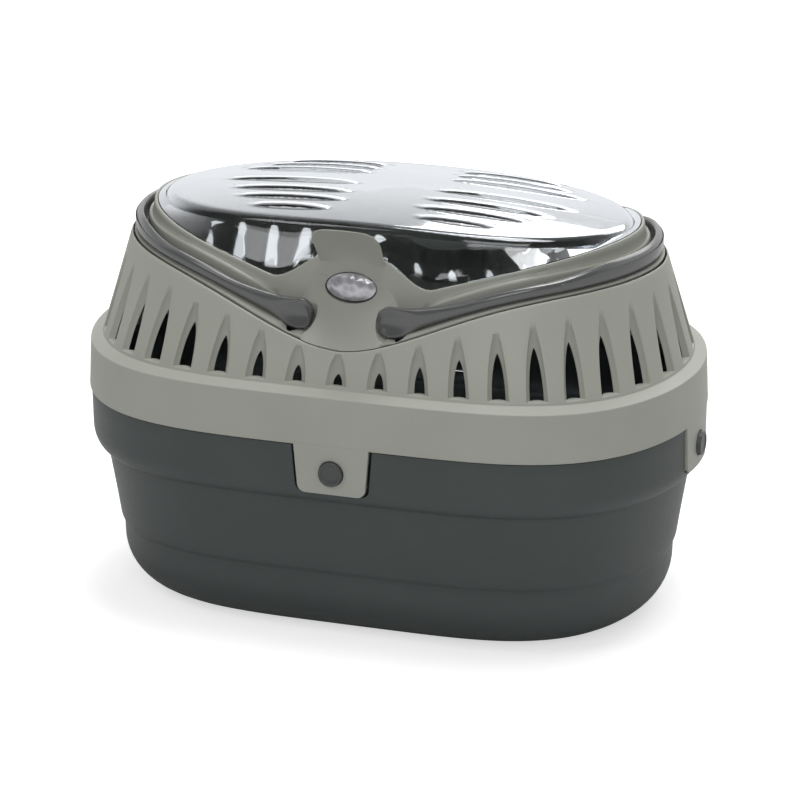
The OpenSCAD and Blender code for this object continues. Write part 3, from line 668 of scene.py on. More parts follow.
def close_pole(piece, z):
    """Fills the small hole that a turned line leaves at its middle, at the height z in mm."""
    widest, slack = 20 * MM, 0.1 * MM
    edit(piece, lambda: bpy.ops.mesh.select_mode(type="EDGE"),
         lambda: bpy.ops.mesh.select_all(action="DESELECT"),
         lambda: bpy.ops.mesh.select_non_manifold(extend=False))
    mesh = piece.data
    for edge in mesh.edges:
        a, b = (mesh.vertices[i].co for i in edge.vertices)
        edge.select = edge.select and abs(a.z - z * MM) < slack and max(a.xy.length, b.xy.length) < widest
    pole = {i for edge in mesh.edges if edge.select for i in edge.vertices}
    for vertex in mesh.vertices:
        vertex.select = vertex.index in pole
    bpy.ops.object.mode_set(mode="EDIT")
    bpy.ops.mesh.edge_face_add()
    bpy.ops.object.mode_set(mode="OBJECT")
    return piece


def recess_cutter(form, where):
    """What the recess of a catch tab takes from the tub, from outside its belt inwards."""
    outside, depth, side_room = 2.0, 5.1, 1.1
    half_columns = 12
    rows = tab_rows(form, TAB_GAP, form.rim + 1.5)

    def place(col, row):
        z = rows[row]
        h = (col / half_columns - 1) * (tab_half(form, z, TAB_GAP) + side_room)
        x, y = side_spot(form, where, -outside, h)
        return x, y, z

    return thicken(bent_grid("recess_cutter", 2 * half_columns, len(rows) - 1, place), depth, 0)


class KEEPER_OT_tub(Operator):
    """Models the tub: rounded base, fine crease, body, wide belt, neck and the four catch recesses"""
    bl_idname = "keeper.tub"
    bl_label = "Tub"

    def execute(self, context):
        form = Form()
        tub = close_pole(tub_shell(form), 0)
        thicken(tub, form.s.tub_wall / MM)
        for where in SIDES.values():
            cut(tub, recess_cutter(form, where))
        smooth(tub, 32)
        dress(tub, "tub", "tub_plastic", "housing", "tub")
        return {"FINISHED"}


# ---------------------------------------------------------------- cover

SKIRT_HIGH = 24
# For a skirt of that height, how far in from its face and how high over the tub's rim: its face, its round
# edge, the shoulder and the step up to the wall.
SKIRT = [(0.25, 0.0), (0.02, 0.3), (0.0, 1), (0.2, 5), (0.4, 10), (0.6, 15), (0.8, 19), (0.95, 22),
         (0.99, 22.8), (1.02, 23.05), (1.12, 23.3), (1.32, 23.48), (1.6, 23.58), (1.85, 23.68),
         (3.0, 24.15), (4.5, 24.85), (5.9, 25.45), (6.5, 25.7),
         (6.68, 25.85), (6.76, 26.15), (6.83, 26.5)]
# Rows of the wall, as shares of a vent's height and then of the wall over it.
VENT_SHARES = [0.0, 0.0, 0.05, 0.12, 0.2, 0.28, 0.36, 0.44, 0.52, 0.6, 0.68, 0.76, 0.83, 0.89, 0.94, 0.98,
               1.0]
WALL_SHARES = [0.03, 0.08, 0.14, 0.2, 0.27, 0.35, 0.44, 0.54, 0.64, 0.74, 0.83, 0.9, 0.95, 0.98, 1.0]
VENT_COLUMNS = 16      # of the sheet for each vent; the middle four are its hole
# Columns in from the edge of a vent's panel: 1 is the edge of its flute and 0 its own edge.
FLUTE_STEPS = [1.0, 1.0, 1.0, 0.84, 0.6, 0.3, 0.0]


def vent_turns():
    """The turn of each vent, ten a quarter. The steps widen towards the ends, so that the vents stay 17 to
    20 mm apart."""
    quarter = [8 * k + 0.01 * k ** 3 for k in range(11)]
    half = quarter + [180 - q for q in quarter[-2::-1]]
    return half + [360 - q for q in half[-2:0:-1]]


def vent_height(form, turn):
    """Height of the vent at a turn, more where the lip is high."""
    return 4.9 + 0.68 * (form.lip(turn) - form.lip_low)


def cover_shell(form):
    """Skirt, shoulder and leaning wall in one sheet, with the vents left out."""
    turns = np.array(vent_turns())
    count = len(turns)
    ahead = np.roll(turns, -1)
    ahead[-1] += TURN
    behind = np.roll(turns, 1)
    behind[0] -= TURN
    below, arch = len(SKIRT), len(VENT_SHARES)
    total = below + arch + len(WALL_SHARES)
    shares, rises, steps = np.array(VENT_SHARES), np.array(WALL_SHARES), np.array(FLUTE_STEPS)
    skirt_inset, skirt_z = np.array(SKIRT).T
    skirt_z = form.rim + skirt_z * (form.skirt - form.rim) / SKIRT_HIGH
    half_columns = VENT_COLUMNS // 2
    widest = form.s.vent_width / MM / 2

    def place(col, row):
        panel = (col // VENT_COLUMNS) % count
        part = col % VENT_COLUMNS
        centre = turns[panel]
        near_lip = form.lip(centre)
        vent_high = vent_height(form, centre)
        k_above = row - below - arch
        is_skirt = row < below
        is_vent = ~is_skirt & (k_above < 0)
        share = np.where(is_skirt, 0, np.where(is_vent, shares[np.clip(row - below, 0, arch - 1)], 1.0))
        rise = np.where(k_above < 0, 0.0, rises[np.clip(k_above, 0, len(rises) - 1)])
        # half widths of the vent, narrower where it is low, and of the flute that it sits in
        half_vent = widest * mix(0.62, 1.0, ease(4, 24, vent_high))
        vent = np.maximum(half_vent * np.power(np.maximum(0, 1 - share ** 2.3), 0.75), 0.22)
        vent = np.where(is_skirt, half_vent, vent)
        vent = mix(vent, 0.8, ease(0.0, 0.5, rise))
        flute_high = np.minimum(vent_high + 9.5, near_lip - form.vent_floor - 1.2)
        z_over = share * vent_high + rise * (near_lip - form.vent_floor - vent_high)
        up = np.clip(z_over / flute_high, 0, 1)
        flute = np.maximum(4.8 * np.power(np.maximum(0, 1 - up ** 1.7), 0.5), vent + 0.8)
        # how far to the side each column stands: the panel's edge, the flute, the vent's edge, its middle
        speed = form.outward(centre)[2]
        is_left = part <= half_columns
        half_turn = np.where(is_left, centre - (centre + behind[panel]) / 2,
                             (centre + ahead[panel]) / 2 - centre)
        half_panel = half_turn * speed
        flute = np.minimum(flute, half_panel * 0.9)
        side = np.where(is_left, -1.0, 1.0)
        index = np.where(is_left, part, VENT_COLUMNS - part)
        along = np.where(index <= 6, mix(vent, flute, steps[np.clip(index, 0, 6)]),
                         np.where(index == 7, vent * 0.5, 0.0))
        along = np.where(index == 0, half_panel, np.where(index == 1, mix(flute, half_panel, 0.3), along))
        turn = centre + side * along / speed
        lip_here = form.lip(turn)
        vent_here = mix(vent_high, vent_height(form, turn), ease(0.6, 1, along / half_panel))
        top_low = form.vent_floor + vent_here
        z_wall = np.where(is_vent, form.vent_floor + share * vent_here, top_low + rise * (lip_here - top_low))
        k_skirt = np.clip(row, 0, below - 1)
        z = np.where(is_skirt, skirt_z[k_skirt], z_wall)
        inset = np.where(is_skirt, skirt_inset[k_skirt], form.wall_inset(z))
        # the lip's outer edge is rounded
        inset = inset + np.where(row == total - 1, 0.5, np.where(row == total - 2, 0.12, 0))
        # the flute is a round hollow that grows deeper downwards and ends in a flat sill
        across = np.clip(along / flute, 0, 1)
        deepest = 3.3 + 0.05 * vent_high
        depth = deepest * np.power(1 - across ** 2, 0.7) * (0.3 * (1 - up) + 0.7 * np.sqrt(1 - up ** 4))
        depth = np.where((row <= below) | (k_above >= len(rises) - 2), 0, depth)
        x, y = form.spot(inset, turn, form.end_power(z))
        ox, oy, _ = form.outward(turn)
        return x - ox * depth, y - oy * depth, z

    def hole(col, row):
        part = col % VENT_COLUMNS
        return (part >= 6) & (part <= 9) & (row > below) & (row < below + arch - 1)

    return bent_grid("cover_shell", count * VENT_COLUMNS, total - 1, place, hole)


def catch_tab(form, where):
    """A tab that hangs from the skirt, with a round hole for its button."""
    half_columns, widest = 12, 18.2
    button_gap = 0.4
    rows = tab_rows(form, 0.0, form.rim + 3)

    def place(col, row):
        z = rows[row]
        h = (col / half_columns - 1) * np.minimum(tab_half(form, z, 0.0), widest)
        over = np.clip(z - form.rim, 0, 10)
        x, y = side_spot(form, where, np.where(over > 0, 0.05 * over + 0.05, 0.0), h)
        return x, y, z

    tab = bent_grid("catch_tab", 2 * half_columns, len(rows) - 1, place)
    thicken(tab, form.wall, 0)
    hole = drum("hole_cutter", form.s.button_diameter / MM / 2 + button_gap, 0, -10, 10, form.catch_z)
    cut(tab, face_side(hole, form, where))
    return soften(tab, 0.35, 50)


def hinge_ear(form, x):
    """An ear of the cover behind the lip's low place, which holds a hinge pin. It starts at x."""
    wide = 5.6
    y, z = form.hinge
    low, top = form.lip_low - 10, form.lip_low - 0.7
    foot = form.half_d - form.wall_inset(low)
    ear = bar("hinge_ear", x, x + wide,
              [(foot - 1.8, low), (foot + 0.4, low), (y + 2.9, z - 3.2), (y + 3.35, z - 0.6),
               (y + 3.1, z + 1.3), (y + 2, z + 2.7), (y, z + 3.35), (y - 2, z + 2.7), (y - 3.2, z),
               (y - 3.2, top), (foot - 3.2, top)])
    return soften(ear, 0.4)


class KEEPER_OT_cover(Operator):
    """Models the cover: skirt, wall with forty vents in flutes, catch tabs, hinge ears and latch rib"""
    bl_idname = "keeper.cover"
    bl_label = "Cover"

    def execute(self, context):
        form = Form()
        sheet = cover_shell(form)
        thicken(sheet, form.wall)
        soften(sheet, 0.2, 55)
        latch_rib = block("latch_rib", (-7, 1.442 - form.lip_y, form.lip_low - 2),
                          (7, 4.542 - form.lip_y, form.lip_low - 0.4))
        pieces = [sheet] + [catch_tab(form, where) for where in SIDES.values()]
        pieces += [soften(latch_rib, 0.3)] + [hinge_ear(form, x) for x in (16.4, -22.0)]
        cover = join(pieces, "vented_cover")
        smooth(cover, 38)
        dress(cover, "cover", "cover_plastic", "housing", "cover")
        return {"FINISHED"}


# ---------------------------------------------------------------- lid frame

LENS_GAP = 0.35        # between the release lens and its hole


def frame_line(form, turn):
    """The line of the lid frame at each turn, as rows of (x, y, z): channel, riser, step, ring and inside."""
    seam = form.seam(turn)
    floor = seam + 1.2
    deep = form.ring_in(turn)
    top = form.ring_top(turn)
    seat = form.seat(turn)
    step = form.step_top(turn)
    edge = form.step_width(turn) + 1.2
    # at the ends a small bead runs along the step
    bead = ease(82, 88, form.reach(turn))
    # the inner rim reaches into the cover, deeper and closer to its wall at the front
    front = ease(-0.1, 0.3, np.cos(np.radians(turn)))
    rim_low, rim_out = seam - mix(1.6, 2.6, front), mix(1.3, 1.12, front)

    def lip(d, z):
        return (*form.lip_spot(1.4 + d, turn), z)

    def ring(d, z):
        return (*form.frame_spot(d, turn), z)

    channel = [lip(0.1, seam + 0.02), lip(0.0, seam + 0.3), lip(0.0, floor - 0.4), lip(0.1, floor - 0.1),
               lip(0.5, floor), ring(-0.9, floor), ring(-0.35, floor + 0.15)]
    riser = [ring(0.0, floor + 0.7), ring(0.35, mix(floor, step, 0.5)), ring(0.55, step - 1.0),
             ring(0.75, step - 0.35), ring(1.1, step + 0.05), ring(edge - 0.5, step + 0.3 - 0.5 * bead)]
    face = [ring(mix(edge, deep, 0.25) + 0.3 * bead, mix(step + 0.4, top, 0.3)),
            ring(mix(edge, deep, 0.6), mix(step, top, 0.6)), ring(deep - 0.15, top - 1.2),
            ring(deep, top - 0.5), ring(deep + 0.25, top - 0.1), ring(deep + 0.7, top),
            ring(deep + 1.2, top - 0.1), ring(deep + 1.5, top - 0.6)]
    inside = [ring(deep + 1.6, seat), ring(deep + 4.1, seat), ring(deep + 4.1, seat - 1.8),
              ring(4.0, seam + 1.5), ring(2.6, seam), lip(2.2, seam), lip(2.1, rim_low),
              lip(rim_out, rim_low), lip(rim_out, seam)]
    return channel + riser + face + inside


def ring_piece(form):
    """The lid frame's line, turned round the plan and closed on itself."""
    rows = len(frame_line(form, np.array([0.0])))

    def place(col, row):
        points = frame_line(form, col * TURN / ROUND)
        return tuple(np.choose(row % rows, [p[i] for p in points]) for i in range(3))

    return bent_grid("lid_ring", ROUND, rows, place)


def valley_piece(form):
    """The hollow front face between the pads, as a closed strip that sinks into the ring at both ends."""
    columns, face_rows, back_rows = 72, 26, 8
    half_turn = 15

    def place(col, row):
        turn = (col / columns * 2 - 1) * half_turn
        x = form.lip_spot(0, turn)[0]
        g = ease(7, 14, np.abs(turn))
        z0 = form.seam(turn) + 0.3
        rise = mix(28.0, form.step_top(turn) - z0 - 1, g)
        foot = form.half_d - form.lip_inset(turn) - 0.3
        top_y = form.riser_b - 4.4
        wall_y = form.riser_b - 1.2
        # up the hollow face, then in and down behind it
        u = np.clip(row / face_rows, 0, 1)
        v = np.clip((row - face_rows) / back_rows, 0, 1)
        behind = mix(form.riser_b - 6, wall_y - 2, g)
        y = np.where(row > face_rows, mix(mix(top_y, wall_y, g), behind, np.minimum(1, v * 2)),
                     mix(mix(foot, top_y, 1 - np.power(1 - u, 1.8)), wall_y, g))
        z = np.where(row > face_rows, mix(z0 + rise, z0, np.clip(v * 2 - 1, 0, 1)), z0 + rise * u)
        return x, -y, z

    return close_up(bent_grid("front_face", columns, face_rows + back_rows, place))


def finger_tab(form):
    """The lift tab: a dished tongue with round corners that leans out over the oval lens."""
    columns, rows = 48, 28
    half = form.s.finger_width / MM / 2
    high, corner, thick = 19.4, 7.0, 2.2

    def place(col, row):
        c = np.sin((col / columns * 2 - 1) * np.pi / 2)
        r = row / rows
        over = np.clip(np.abs(c) * half - (half - corner), 0, corner)
        round_top = corner - np.sqrt(np.maximum(0, corner ** 2 - over ** 2))
        root = form.plate_top - 1.0 - 3.4 * c * c
        top = form.plate_top + high - 0.7 * c * c - round_top
        z = mix(root, top, r)
        lift = np.clip((z - form.plate_top) / high, 0, 1)
        x = c * (half - 0.9 * (1 - lift) ** 2)
        out = 0.2 + 14.3 * np.power(lift, 1.12) - (1.9 * np.sin(np.pi * lift) + 1.0 * lift) * (1 - c * c)
        return x, -form.plate_y - out, z

    tab = bent_grid("finger_tab", columns, rows, place)
    thicken(tab, thick)
    return soften(tab, 0.5, 50, 3)


def hinge_knuckle(form, x):
    """A knuckle that turns on a hinge pin, and the arm that joins it to the lid. They start at x."""
    wide, radius = 8, 3.35
    y, z = form.hinge
    knuckle = settle(drum("knuckle", radius, 0, 0, wide, 0, 40), rotation_euler=(0, 0, math.radians(-90)),
                     location=(x * MM, y * MM, z * MM))
    arm = bar("knuckle_arm", x, x + wide,
              [(y, z + 3.3), (y - 0.4, z - 3.2), (y - 3, z - 1.3), (y - 3.8, z - 0.6), (y - 9.1, z - 0.6),
               (y - 9.1, z + 1.9), (y - 4.2, z + 3.3)])
    return [soften(knuckle, 0.3), soften(arm, 0.3)]


class KEEPER_OT_lid_frame(Operator):
    """Models the lid frame: ring with its channel, hollow faces, pad recesses, finger tab and knuckles"""
    bl_idname = "keeper.lid_frame"
    bl_label = "Lid frame"

    def execute(self, context):
        form = Form()
        ring = ring_piece(form)
        front = valley_piece(form)
        back = settle(copy_of(front, "rear_face"), rotation_euler=(0, 0, math.pi))
        px, pz = form.pivot
        # room for the handles' pads to turn in
        for piece, signs, radius in ((front, (-1,), 9.3), (back, (1,), 9.3), (ring, (-1, 1), 8.1)):
            for sign in signs:
                for x in (-px, px):
                    start = sign * (form.riser_b + 0.3)
                    cut(piece, drum("pocket_cutter", radius, x, start, sign * 100, pz))
        half_lens = [size / MM / 2 + LENS_GAP for size in (form.s.lens_width, form.s.lens_height)]
        for piece in (front, ring):
            cutter = settle(drum("lens_cutter", 1.0, 0, -100, -50, 0), scale=(half_lens[0], 1, half_lens[1]))
            cut(piece, settle(cutter, location=(0, 0, form.lens_z * MM)))
        for piece in (front, back):
            soften(close_up(piece), 0.5, 45, 3)
        pieces = [ring, front, back, finger_tab(form)]
        for x in (8, -16):
            pieces += hinge_knuckle(form, x)
        lid = join(pieces, "lid_ring_and_face")
        smooth(lid, 38)
        dress(lid, "lid", "frame_plastic", "lid", "lid_frame")
        return {"FINISHED"}


# ---------------------------------------------------------------- window

# Each row of louvres: its place from front to back, and how far from the middle it starts and ends.
LOUVRES = [(-37.5, 19.5, 62.6), (-25.3, 14.5, 75), (-13.3, 15, 82), (1, 15, 91), (22.5, 14.4, 90.4),
           (32.4, 14.5, 81), (42.6, 14.8, 73)]
LOUVRE_SHIFT = 1.2     # of the mounds and of their slots, from the row's place
LOUVRE_RISE = 1.38
LOUVRE_HALF = 4.9      # half the width of a mound, from front to back
SLOT_SHARE = 0.82      # of a row's length
SLOT_HALF = 1.1


def louvre_lift(x, y):
    """How far the window's top stands up for its louvres, each a long low mound."""
    lift = np.zeros_like(x)
    for row_y, inner, outer in LOUVRES:
        u = np.clip((np.abs(x) - inner) / (outer - inner), 0, 1)
        arch = 4 * u * (1 - u)
        v = (y - row_y - LOUVRE_SHIFT) / (LOUVRE_HALF * np.sqrt(arch) + 0.01)
        mound = LOUVRE_RISE * np.sqrt(arch) * np.clip(1 - v * v, 0, 1) * np.minimum(1, 2 * arch)
        lift = np.maximum(lift, mound)
    return lift


def window_line(form, turn):
    """The window's line at each turn, as rows of (x, y, z), from its middle over the crown and the round edge
    and down its side into the ring."""
    crown_inset = 4.4
    edge = [(3.6, 0.04), (2.8, 0.2), (2.0, 0.5), (1.3, 0.95), (0.75, 1.5), (0.35, 2.15), (0.1, 2.9),
            (0.0, 3.6)]
    rows = []
    for share in [0.03] + list(np.linspace(0.06, 1.0, 56)):
        x, y = (share * c for c in form.window_spot(crown_inset, turn))
        rows.append((x, y, form.crown(x, y) + louvre_lift(x, y)))
    for inset, drop in edge:
        x, y = form.window_spot(inset, turn)
        rows.append((x, y, form.crown(x, y) - drop))
    x0, y0, z0 = rows.pop()
    x1, y1 = form.frame_spot(form.ring_in(turn) + 1.8, turn)
    z1 = form.ring_top(turn)
    z0 = np.maximum(z0, z1 + 0.2)
    for k in (0.0, 0.2, 0.4, 0.6, 0.8, 1.0):
        rows.append((mix(x0, x1, k), mix(y0, y1, k), mix(z0, z1, k)))
    rows.append((x1, y1, form.seat(turn) + 0.3))
    return rows


def window_shell(form):
    """The window's outer skin, with the height of its louvres kept as an attribute, which paints a highlight
    on their tops.
    """
    columns = 384
    glare_from, full_glare = form.rim + 85, 1.5
    count = len(window_line(form, np.array([0.0])))

    def place(col, row):
        turns = np.arange(columns + 1) * TURN / columns
        points = np.array([np.broadcast_arrays(*p) for p in window_line(form, turns)])
        return tuple(points[count - 1 - row, i, col] for i in range(3))

    shell = close_pole(bent_grid("window_shell", columns, count - 1, place), form.crown(0, 0))
    x, y, z = rows_of(shell.data.vertices, "co").T / MM
    # The louvres' height, which paints their highlight in the window's material.
    frost = np.where(z > glare_from, louvre_lift(x, y) / full_glare, 0)
    shell.data.attributes.new("frost", "FLOAT", "POINT").data.foreach_set("value", frost.astype(np.float32))
    return shell


def slot_cutter(form, side, row):
    """A long oval, upright through the window's top, for the slot of a louvre."""
    row_y, inner, outer = row
    middle = ((inner + outer) / 2 * side, row_y - LOUVRE_SHIFT, form.rim + 93)
    cutter = settle(drum("slot_cutter", 1.0, 0, -1, 1, 0, 48), rotation_euler=(math.radians(90), 0, 0))
    settle(cutter, scale=((outer - inner) / 2 * SLOT_SHARE, SLOT_HALF, 15))
    return settle(cutter, location=[place * MM for place in middle])


class KEEPER_OT_window(Operator):
    """Models the clear window: bowed crown with rows of raised louvres and slots, rounded edge and side"""
    bl_idname = "keeper.window"
    bl_label = "Window"

    def execute(self, context):
        form = Form()
        shell = window_shell(form)
        drawn_share = 0.8
        thicken(shell, form.s.window_wall / MM * drawn_share)
        for row in LOUVRES:
            for side in (-1, 1):
                cut(shell, slot_cutter(form, side, row))
        smooth(shell, 40)
        shell.name = "clear_window"
        dress(shell, "window", "clear_plastic", "lid", "dome_window")
        return {"FINISHED"}


# ---------------------------------------------------------------- handles

def handle_piece(form, name):
    """One swing handle: a band round the end that widens into a dished pad at the front and at the back."""
    columns, rows = 240, 36
    thick = form.s.band_thickness / MM
    tall, waist = form.s.band_height / MM, form.s.band_waist / MM
    pad_half, pad_corner, pad_dish = 7.3, 5.8, 2.3
    crowding = 0.288
    a = form.half_w - form.lip_inset(90) - 2.2
    b = form.riser_b + 7.0
    px, pz = form.pivot
    inner = px - pad_half
    start = math.degrees(math.asin(inner / a))

    def place(col, row):
        share = col / columns
        # the columns are closer together at both pads
        share = share - crowding / (2 * np.pi) * np.sin(2 * np.pi * share)
        turn = start + (180 - 2 * start) * share
        near = np.minimum(turn, 180 - turn)
        x_mid = a * np.sin(np.radians(turn))
        # from the pad, where k is 0, to the band
        k = ease(22, 38, x_mid)
        band_low = form.seam(turn) + 1.7
        flare = 6.6 * np.maximum(0, 1 - np.maximum(near - 12, 0) / 16) ** 1.6
        band_high = band_low + waist + (tall - waist) * ease(46, 68, near) + flare
        end = np.clip((inner + pad_corner - x_mid) / pad_corner, 0, 1)
        shrink = pad_corner - pad_corner * np.sqrt(np.maximum(0, 1 - end ** 2))
        low = mix(pz - pad_half, band_low, k) + shrink
        high = mix(pz + pad_half, band_high, k) - shrink
        # the section, squarer at the pad
        angle = row / rows * 2 * np.pi
        cy, cz = np.cos(angle), np.sin(angle)
        n = mix(4.5, 2.7, k)
        size = np.power(np.abs(cy) ** n + np.abs(cz) ** n, -1 / n)
        across, up = cy * size, cz * size
        z = (low + high) / 2 + up * (high - low) / 2
        # at the end of the keeper the top falls outwards
        tilt = ease(40, 70, near)
        z = z - np.where(up > 0.5, 2.0 * tilt * (across + 1) / 2, 0)
        rim = np.clip(1 - np.abs(up) ** 2.0, 0, 1) * (1 - np.clip((inner + 3.0 - x_mid) / 3.0, 0, 1) ** 2)
        dish = np.where(across > 0.5, rim * mix(pad_dish, 0.0, k) * (1 - tilt), 0)
        d = dish - (across - 1) * thick / 2
        x, y = form.oval(a - d, b - d, turn, FRAME_POWER)
        return x, y, z

    return close_up(bent_grid(name, columns, rows, place))


class KEEPER_OT_handles(Operator):
    """Models the two swing handles, which lie round the lid"""
    bl_idname = "keeper.handles"
    bl_label = "Handles"

    def execute(self, context):
        form = Form()
        right = smooth(handle_piece(form, "right_swing_handle"), 50)
        left = smooth(mirrored_copy(right, "left_swing_handle"), 50)
        dress(right, "handle", "handle_plastic", "handle_right", "right_handle")
        dress(left, "handle", "handle_plastic", "handle_left", "left_handle")
        return {"FINISHED"}


# ---------------------------------------------------------------- release and catches

class KEEPER_OT_release(Operator):
    """Models the oval release: a convex clear lens with a flat rim, its flange and its hook"""
    bl_idname = "keeper.release"
    bl_label = "Release lens"

    def execute(self, context):
        form = Form()
        z = form.lens_z
        a, b = form.s.lens_width / MM / 2, form.s.lens_height / MM / 2
        face = form.plate_y + 3.6
        sides = 64
        # rings from the back edge over the rim to the crown: shares of the size, and places under the crown
        rings = np.array([1.0, 1.0, 0.985, 0.95, 0.9, 0.86, 0.8, 0.6, 0.35, 0.02])
        out = np.array([-4.8, -2.3, -1.85, -1.55, -1.5, -1.4, -1.05, -0.45, -0.1, 0.0])

        def place(col, row):
            angle = col / sides * 2 * np.pi
            return np.cos(angle) * a * rings[row], -face - out[row], z + np.sin(angle) * b * rings[row]

        lens = close_up(bent_grid("lens", sides, len(rings) - 1, place))
        flange_in, flange, hook_thick = 1.5, 1.6, 1.8
        rib_reach, free = 2.2, 0.4
        half, low, foot_high = 5, form.lip_low - 4.6, 2.0
        back = form.plate_y - flange_in - flange - hook_thick
        nose = form.lip_y - form.wall - rib_reach - free
        hook = block("hook", (-half, -back - hook_thick, low), (half, -back, z))
        foot = block("nose", (-half, -nose, low), (half, -back, low + foot_high))
        release = join([lens, soften(hook, 0.3), soften(foot, 0.3)], "release_lens")
        smooth(release, 40)
        dress(release, "lens", "button_plastic", "release", "oval_button")
        return {"FINISHED"}


class KEEPER_OT_catches(Operator):
    """Models one catch button with its plate, and copies it to the four sides"""
    bl_idname = "keeper.catches"
    bl_label = "Catches"

    def execute(self, context):
        form = Form()
        z = form.catch_z
        button = drum("catch_button", form.s.button_diameter / MM / 2, 0, 4.2, -2.0, z)
        # a flat rim, then a shallow dish in the front face
        edit(button, lambda: bpy.ops.mesh.inset(thickness=1.1 * MM, depth=0),
             lambda: bpy.ops.mesh.inset(thickness=0.4 * MM, depth=-0.35 * MM),
             lambda: bpy.ops.mesh.inset(thickness=1.6 * MM, depth=-0.2 * MM),
             faces=[face.normal.y < -0.9 for face in button.data.polygons])
        soften(button, 0.45, 50, 3)
        half_plate, half_high = 12.6, 8.35
        plate = block("catch_plate", (-half_plate, 3.44, z - half_high), (half_plate, 5.04, z + half_high))
        catch = join([button, soften(plate, 0.4)], "catch")
        for name, where in SIDES.items():
            piece = smooth(face_side(copy_of(catch, name + "_push_catch"), form, where), 40)
            dress(piece, "button", "catch_plastic", "catch_" + name, name + "_catch")
        bpy.data.objects.remove(catch)
        return {"FINISHED"}


class KEEPER_OT_pins(Operator):
    """Models the handles' four pivot pins, and gives the lid's two hinge pins their finish"""
    bl_idname = "keeper.pins"
    bl_label = "Pins"

    def execute(self, context):
        form = Form()
        px, pz = form.pivot
        radius = 1.5
        pins = []
        for x in (-px, px):
            for sign in (-1, 1):
                inner, outer = sign * (form.riser_b - 7.4), sign * (form.riser_b + 4.2)
                pins.append(soften(drum("pivot_pin", radius, x, inner, outer, pz, 32), 0.3, 50))
        dress(smooth(join(pins, "pivot_pins"), 40), "button", "pin_plastic", "lid", "handle_pivot_pins")
        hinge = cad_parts["lid_hinge_pins"]
        hinge.data.materials.clear()
        hinge.data.materials.append(material_for("button"))
        return {"FINISHED"}


# ---------------------------------------------------------------- stage
# Name, place, height that it aims at, size and watts of each soft box.
LAMPS = [("key_softbox", (-0.9, -1.1, 1.5), 0.1, (0.7, 0.7), 4),
         ("top_softbox", (0.1, 0.1, 1.9), 0.1, (1.2, 0.6), 18),
         ("fill_softbox", (0.45, -1.7, 1.1), 0.1, (1.0, 0.8), 6.5),
         ("rear_softbox", (0.3, 1.5, 1.4), 0.15, (1.8, 0.8), 12)]
# The camera's place round the keeper, and its lens in pixels of a square render.
AZIMUTH, ELEVATION, DISTANCE = math.radians(18.614), math.radians(18.813), 1.8826
TARGET = Vector((0, 0, 0.102))
RENDER_PX, FOCAL_PX = 800, 3916.7
CENTRE_PX = (397.35, 384.04)
SENSOR_MM = 36


def lamp(name, place, aim_z, size, watts):
    """A rectangular soft box that aims at the middle of the keeper."""
    data = bpy.data.lights.new(name, "AREA")
    data.shape = "RECTANGLE"
    data.size, data.size_y = size
    data.energy = watts
    item = bpy.data.objects.new(name, data)
    bpy.context.collection.objects.link(item)
    item.location = place
    item.rotation_euler = (Vector((0, 0, aim_z)) - Vector(place)).to_track_quat("-Z", "Y").to_euler()


def studio_paper(colour):
    """Matt white paper. The camera sees it a little brighter than it is, so that it meets the white
    background and still keeps the object's shadow."""
    material, tree = new_material("Studio paper, matt white")
    paper = node(tree, "ShaderNodeBsdfDiffuse", inputs={"Color": colour + (1,)})
    lift = node(tree, "ShaderNodeEmission", inputs={"Color": (1, 1, 1, 1), "Strength": 0.6})
    seen = node(tree, "ShaderNodeAddShader", links={0: (paper, "BSDF"), 1: (lift, "Emission")})
    path = node(tree, "ShaderNodeLightPath")
    both = node(tree, "ShaderNodeMixShader",
                links={0: (path, "Is Camera Ray"), 1: (paper, "BSDF"), 2: (seen, "Shader")})
    node(tree, "ShaderNodeOutputMaterial", links={"Surface": (both, "Shader")})
    return material


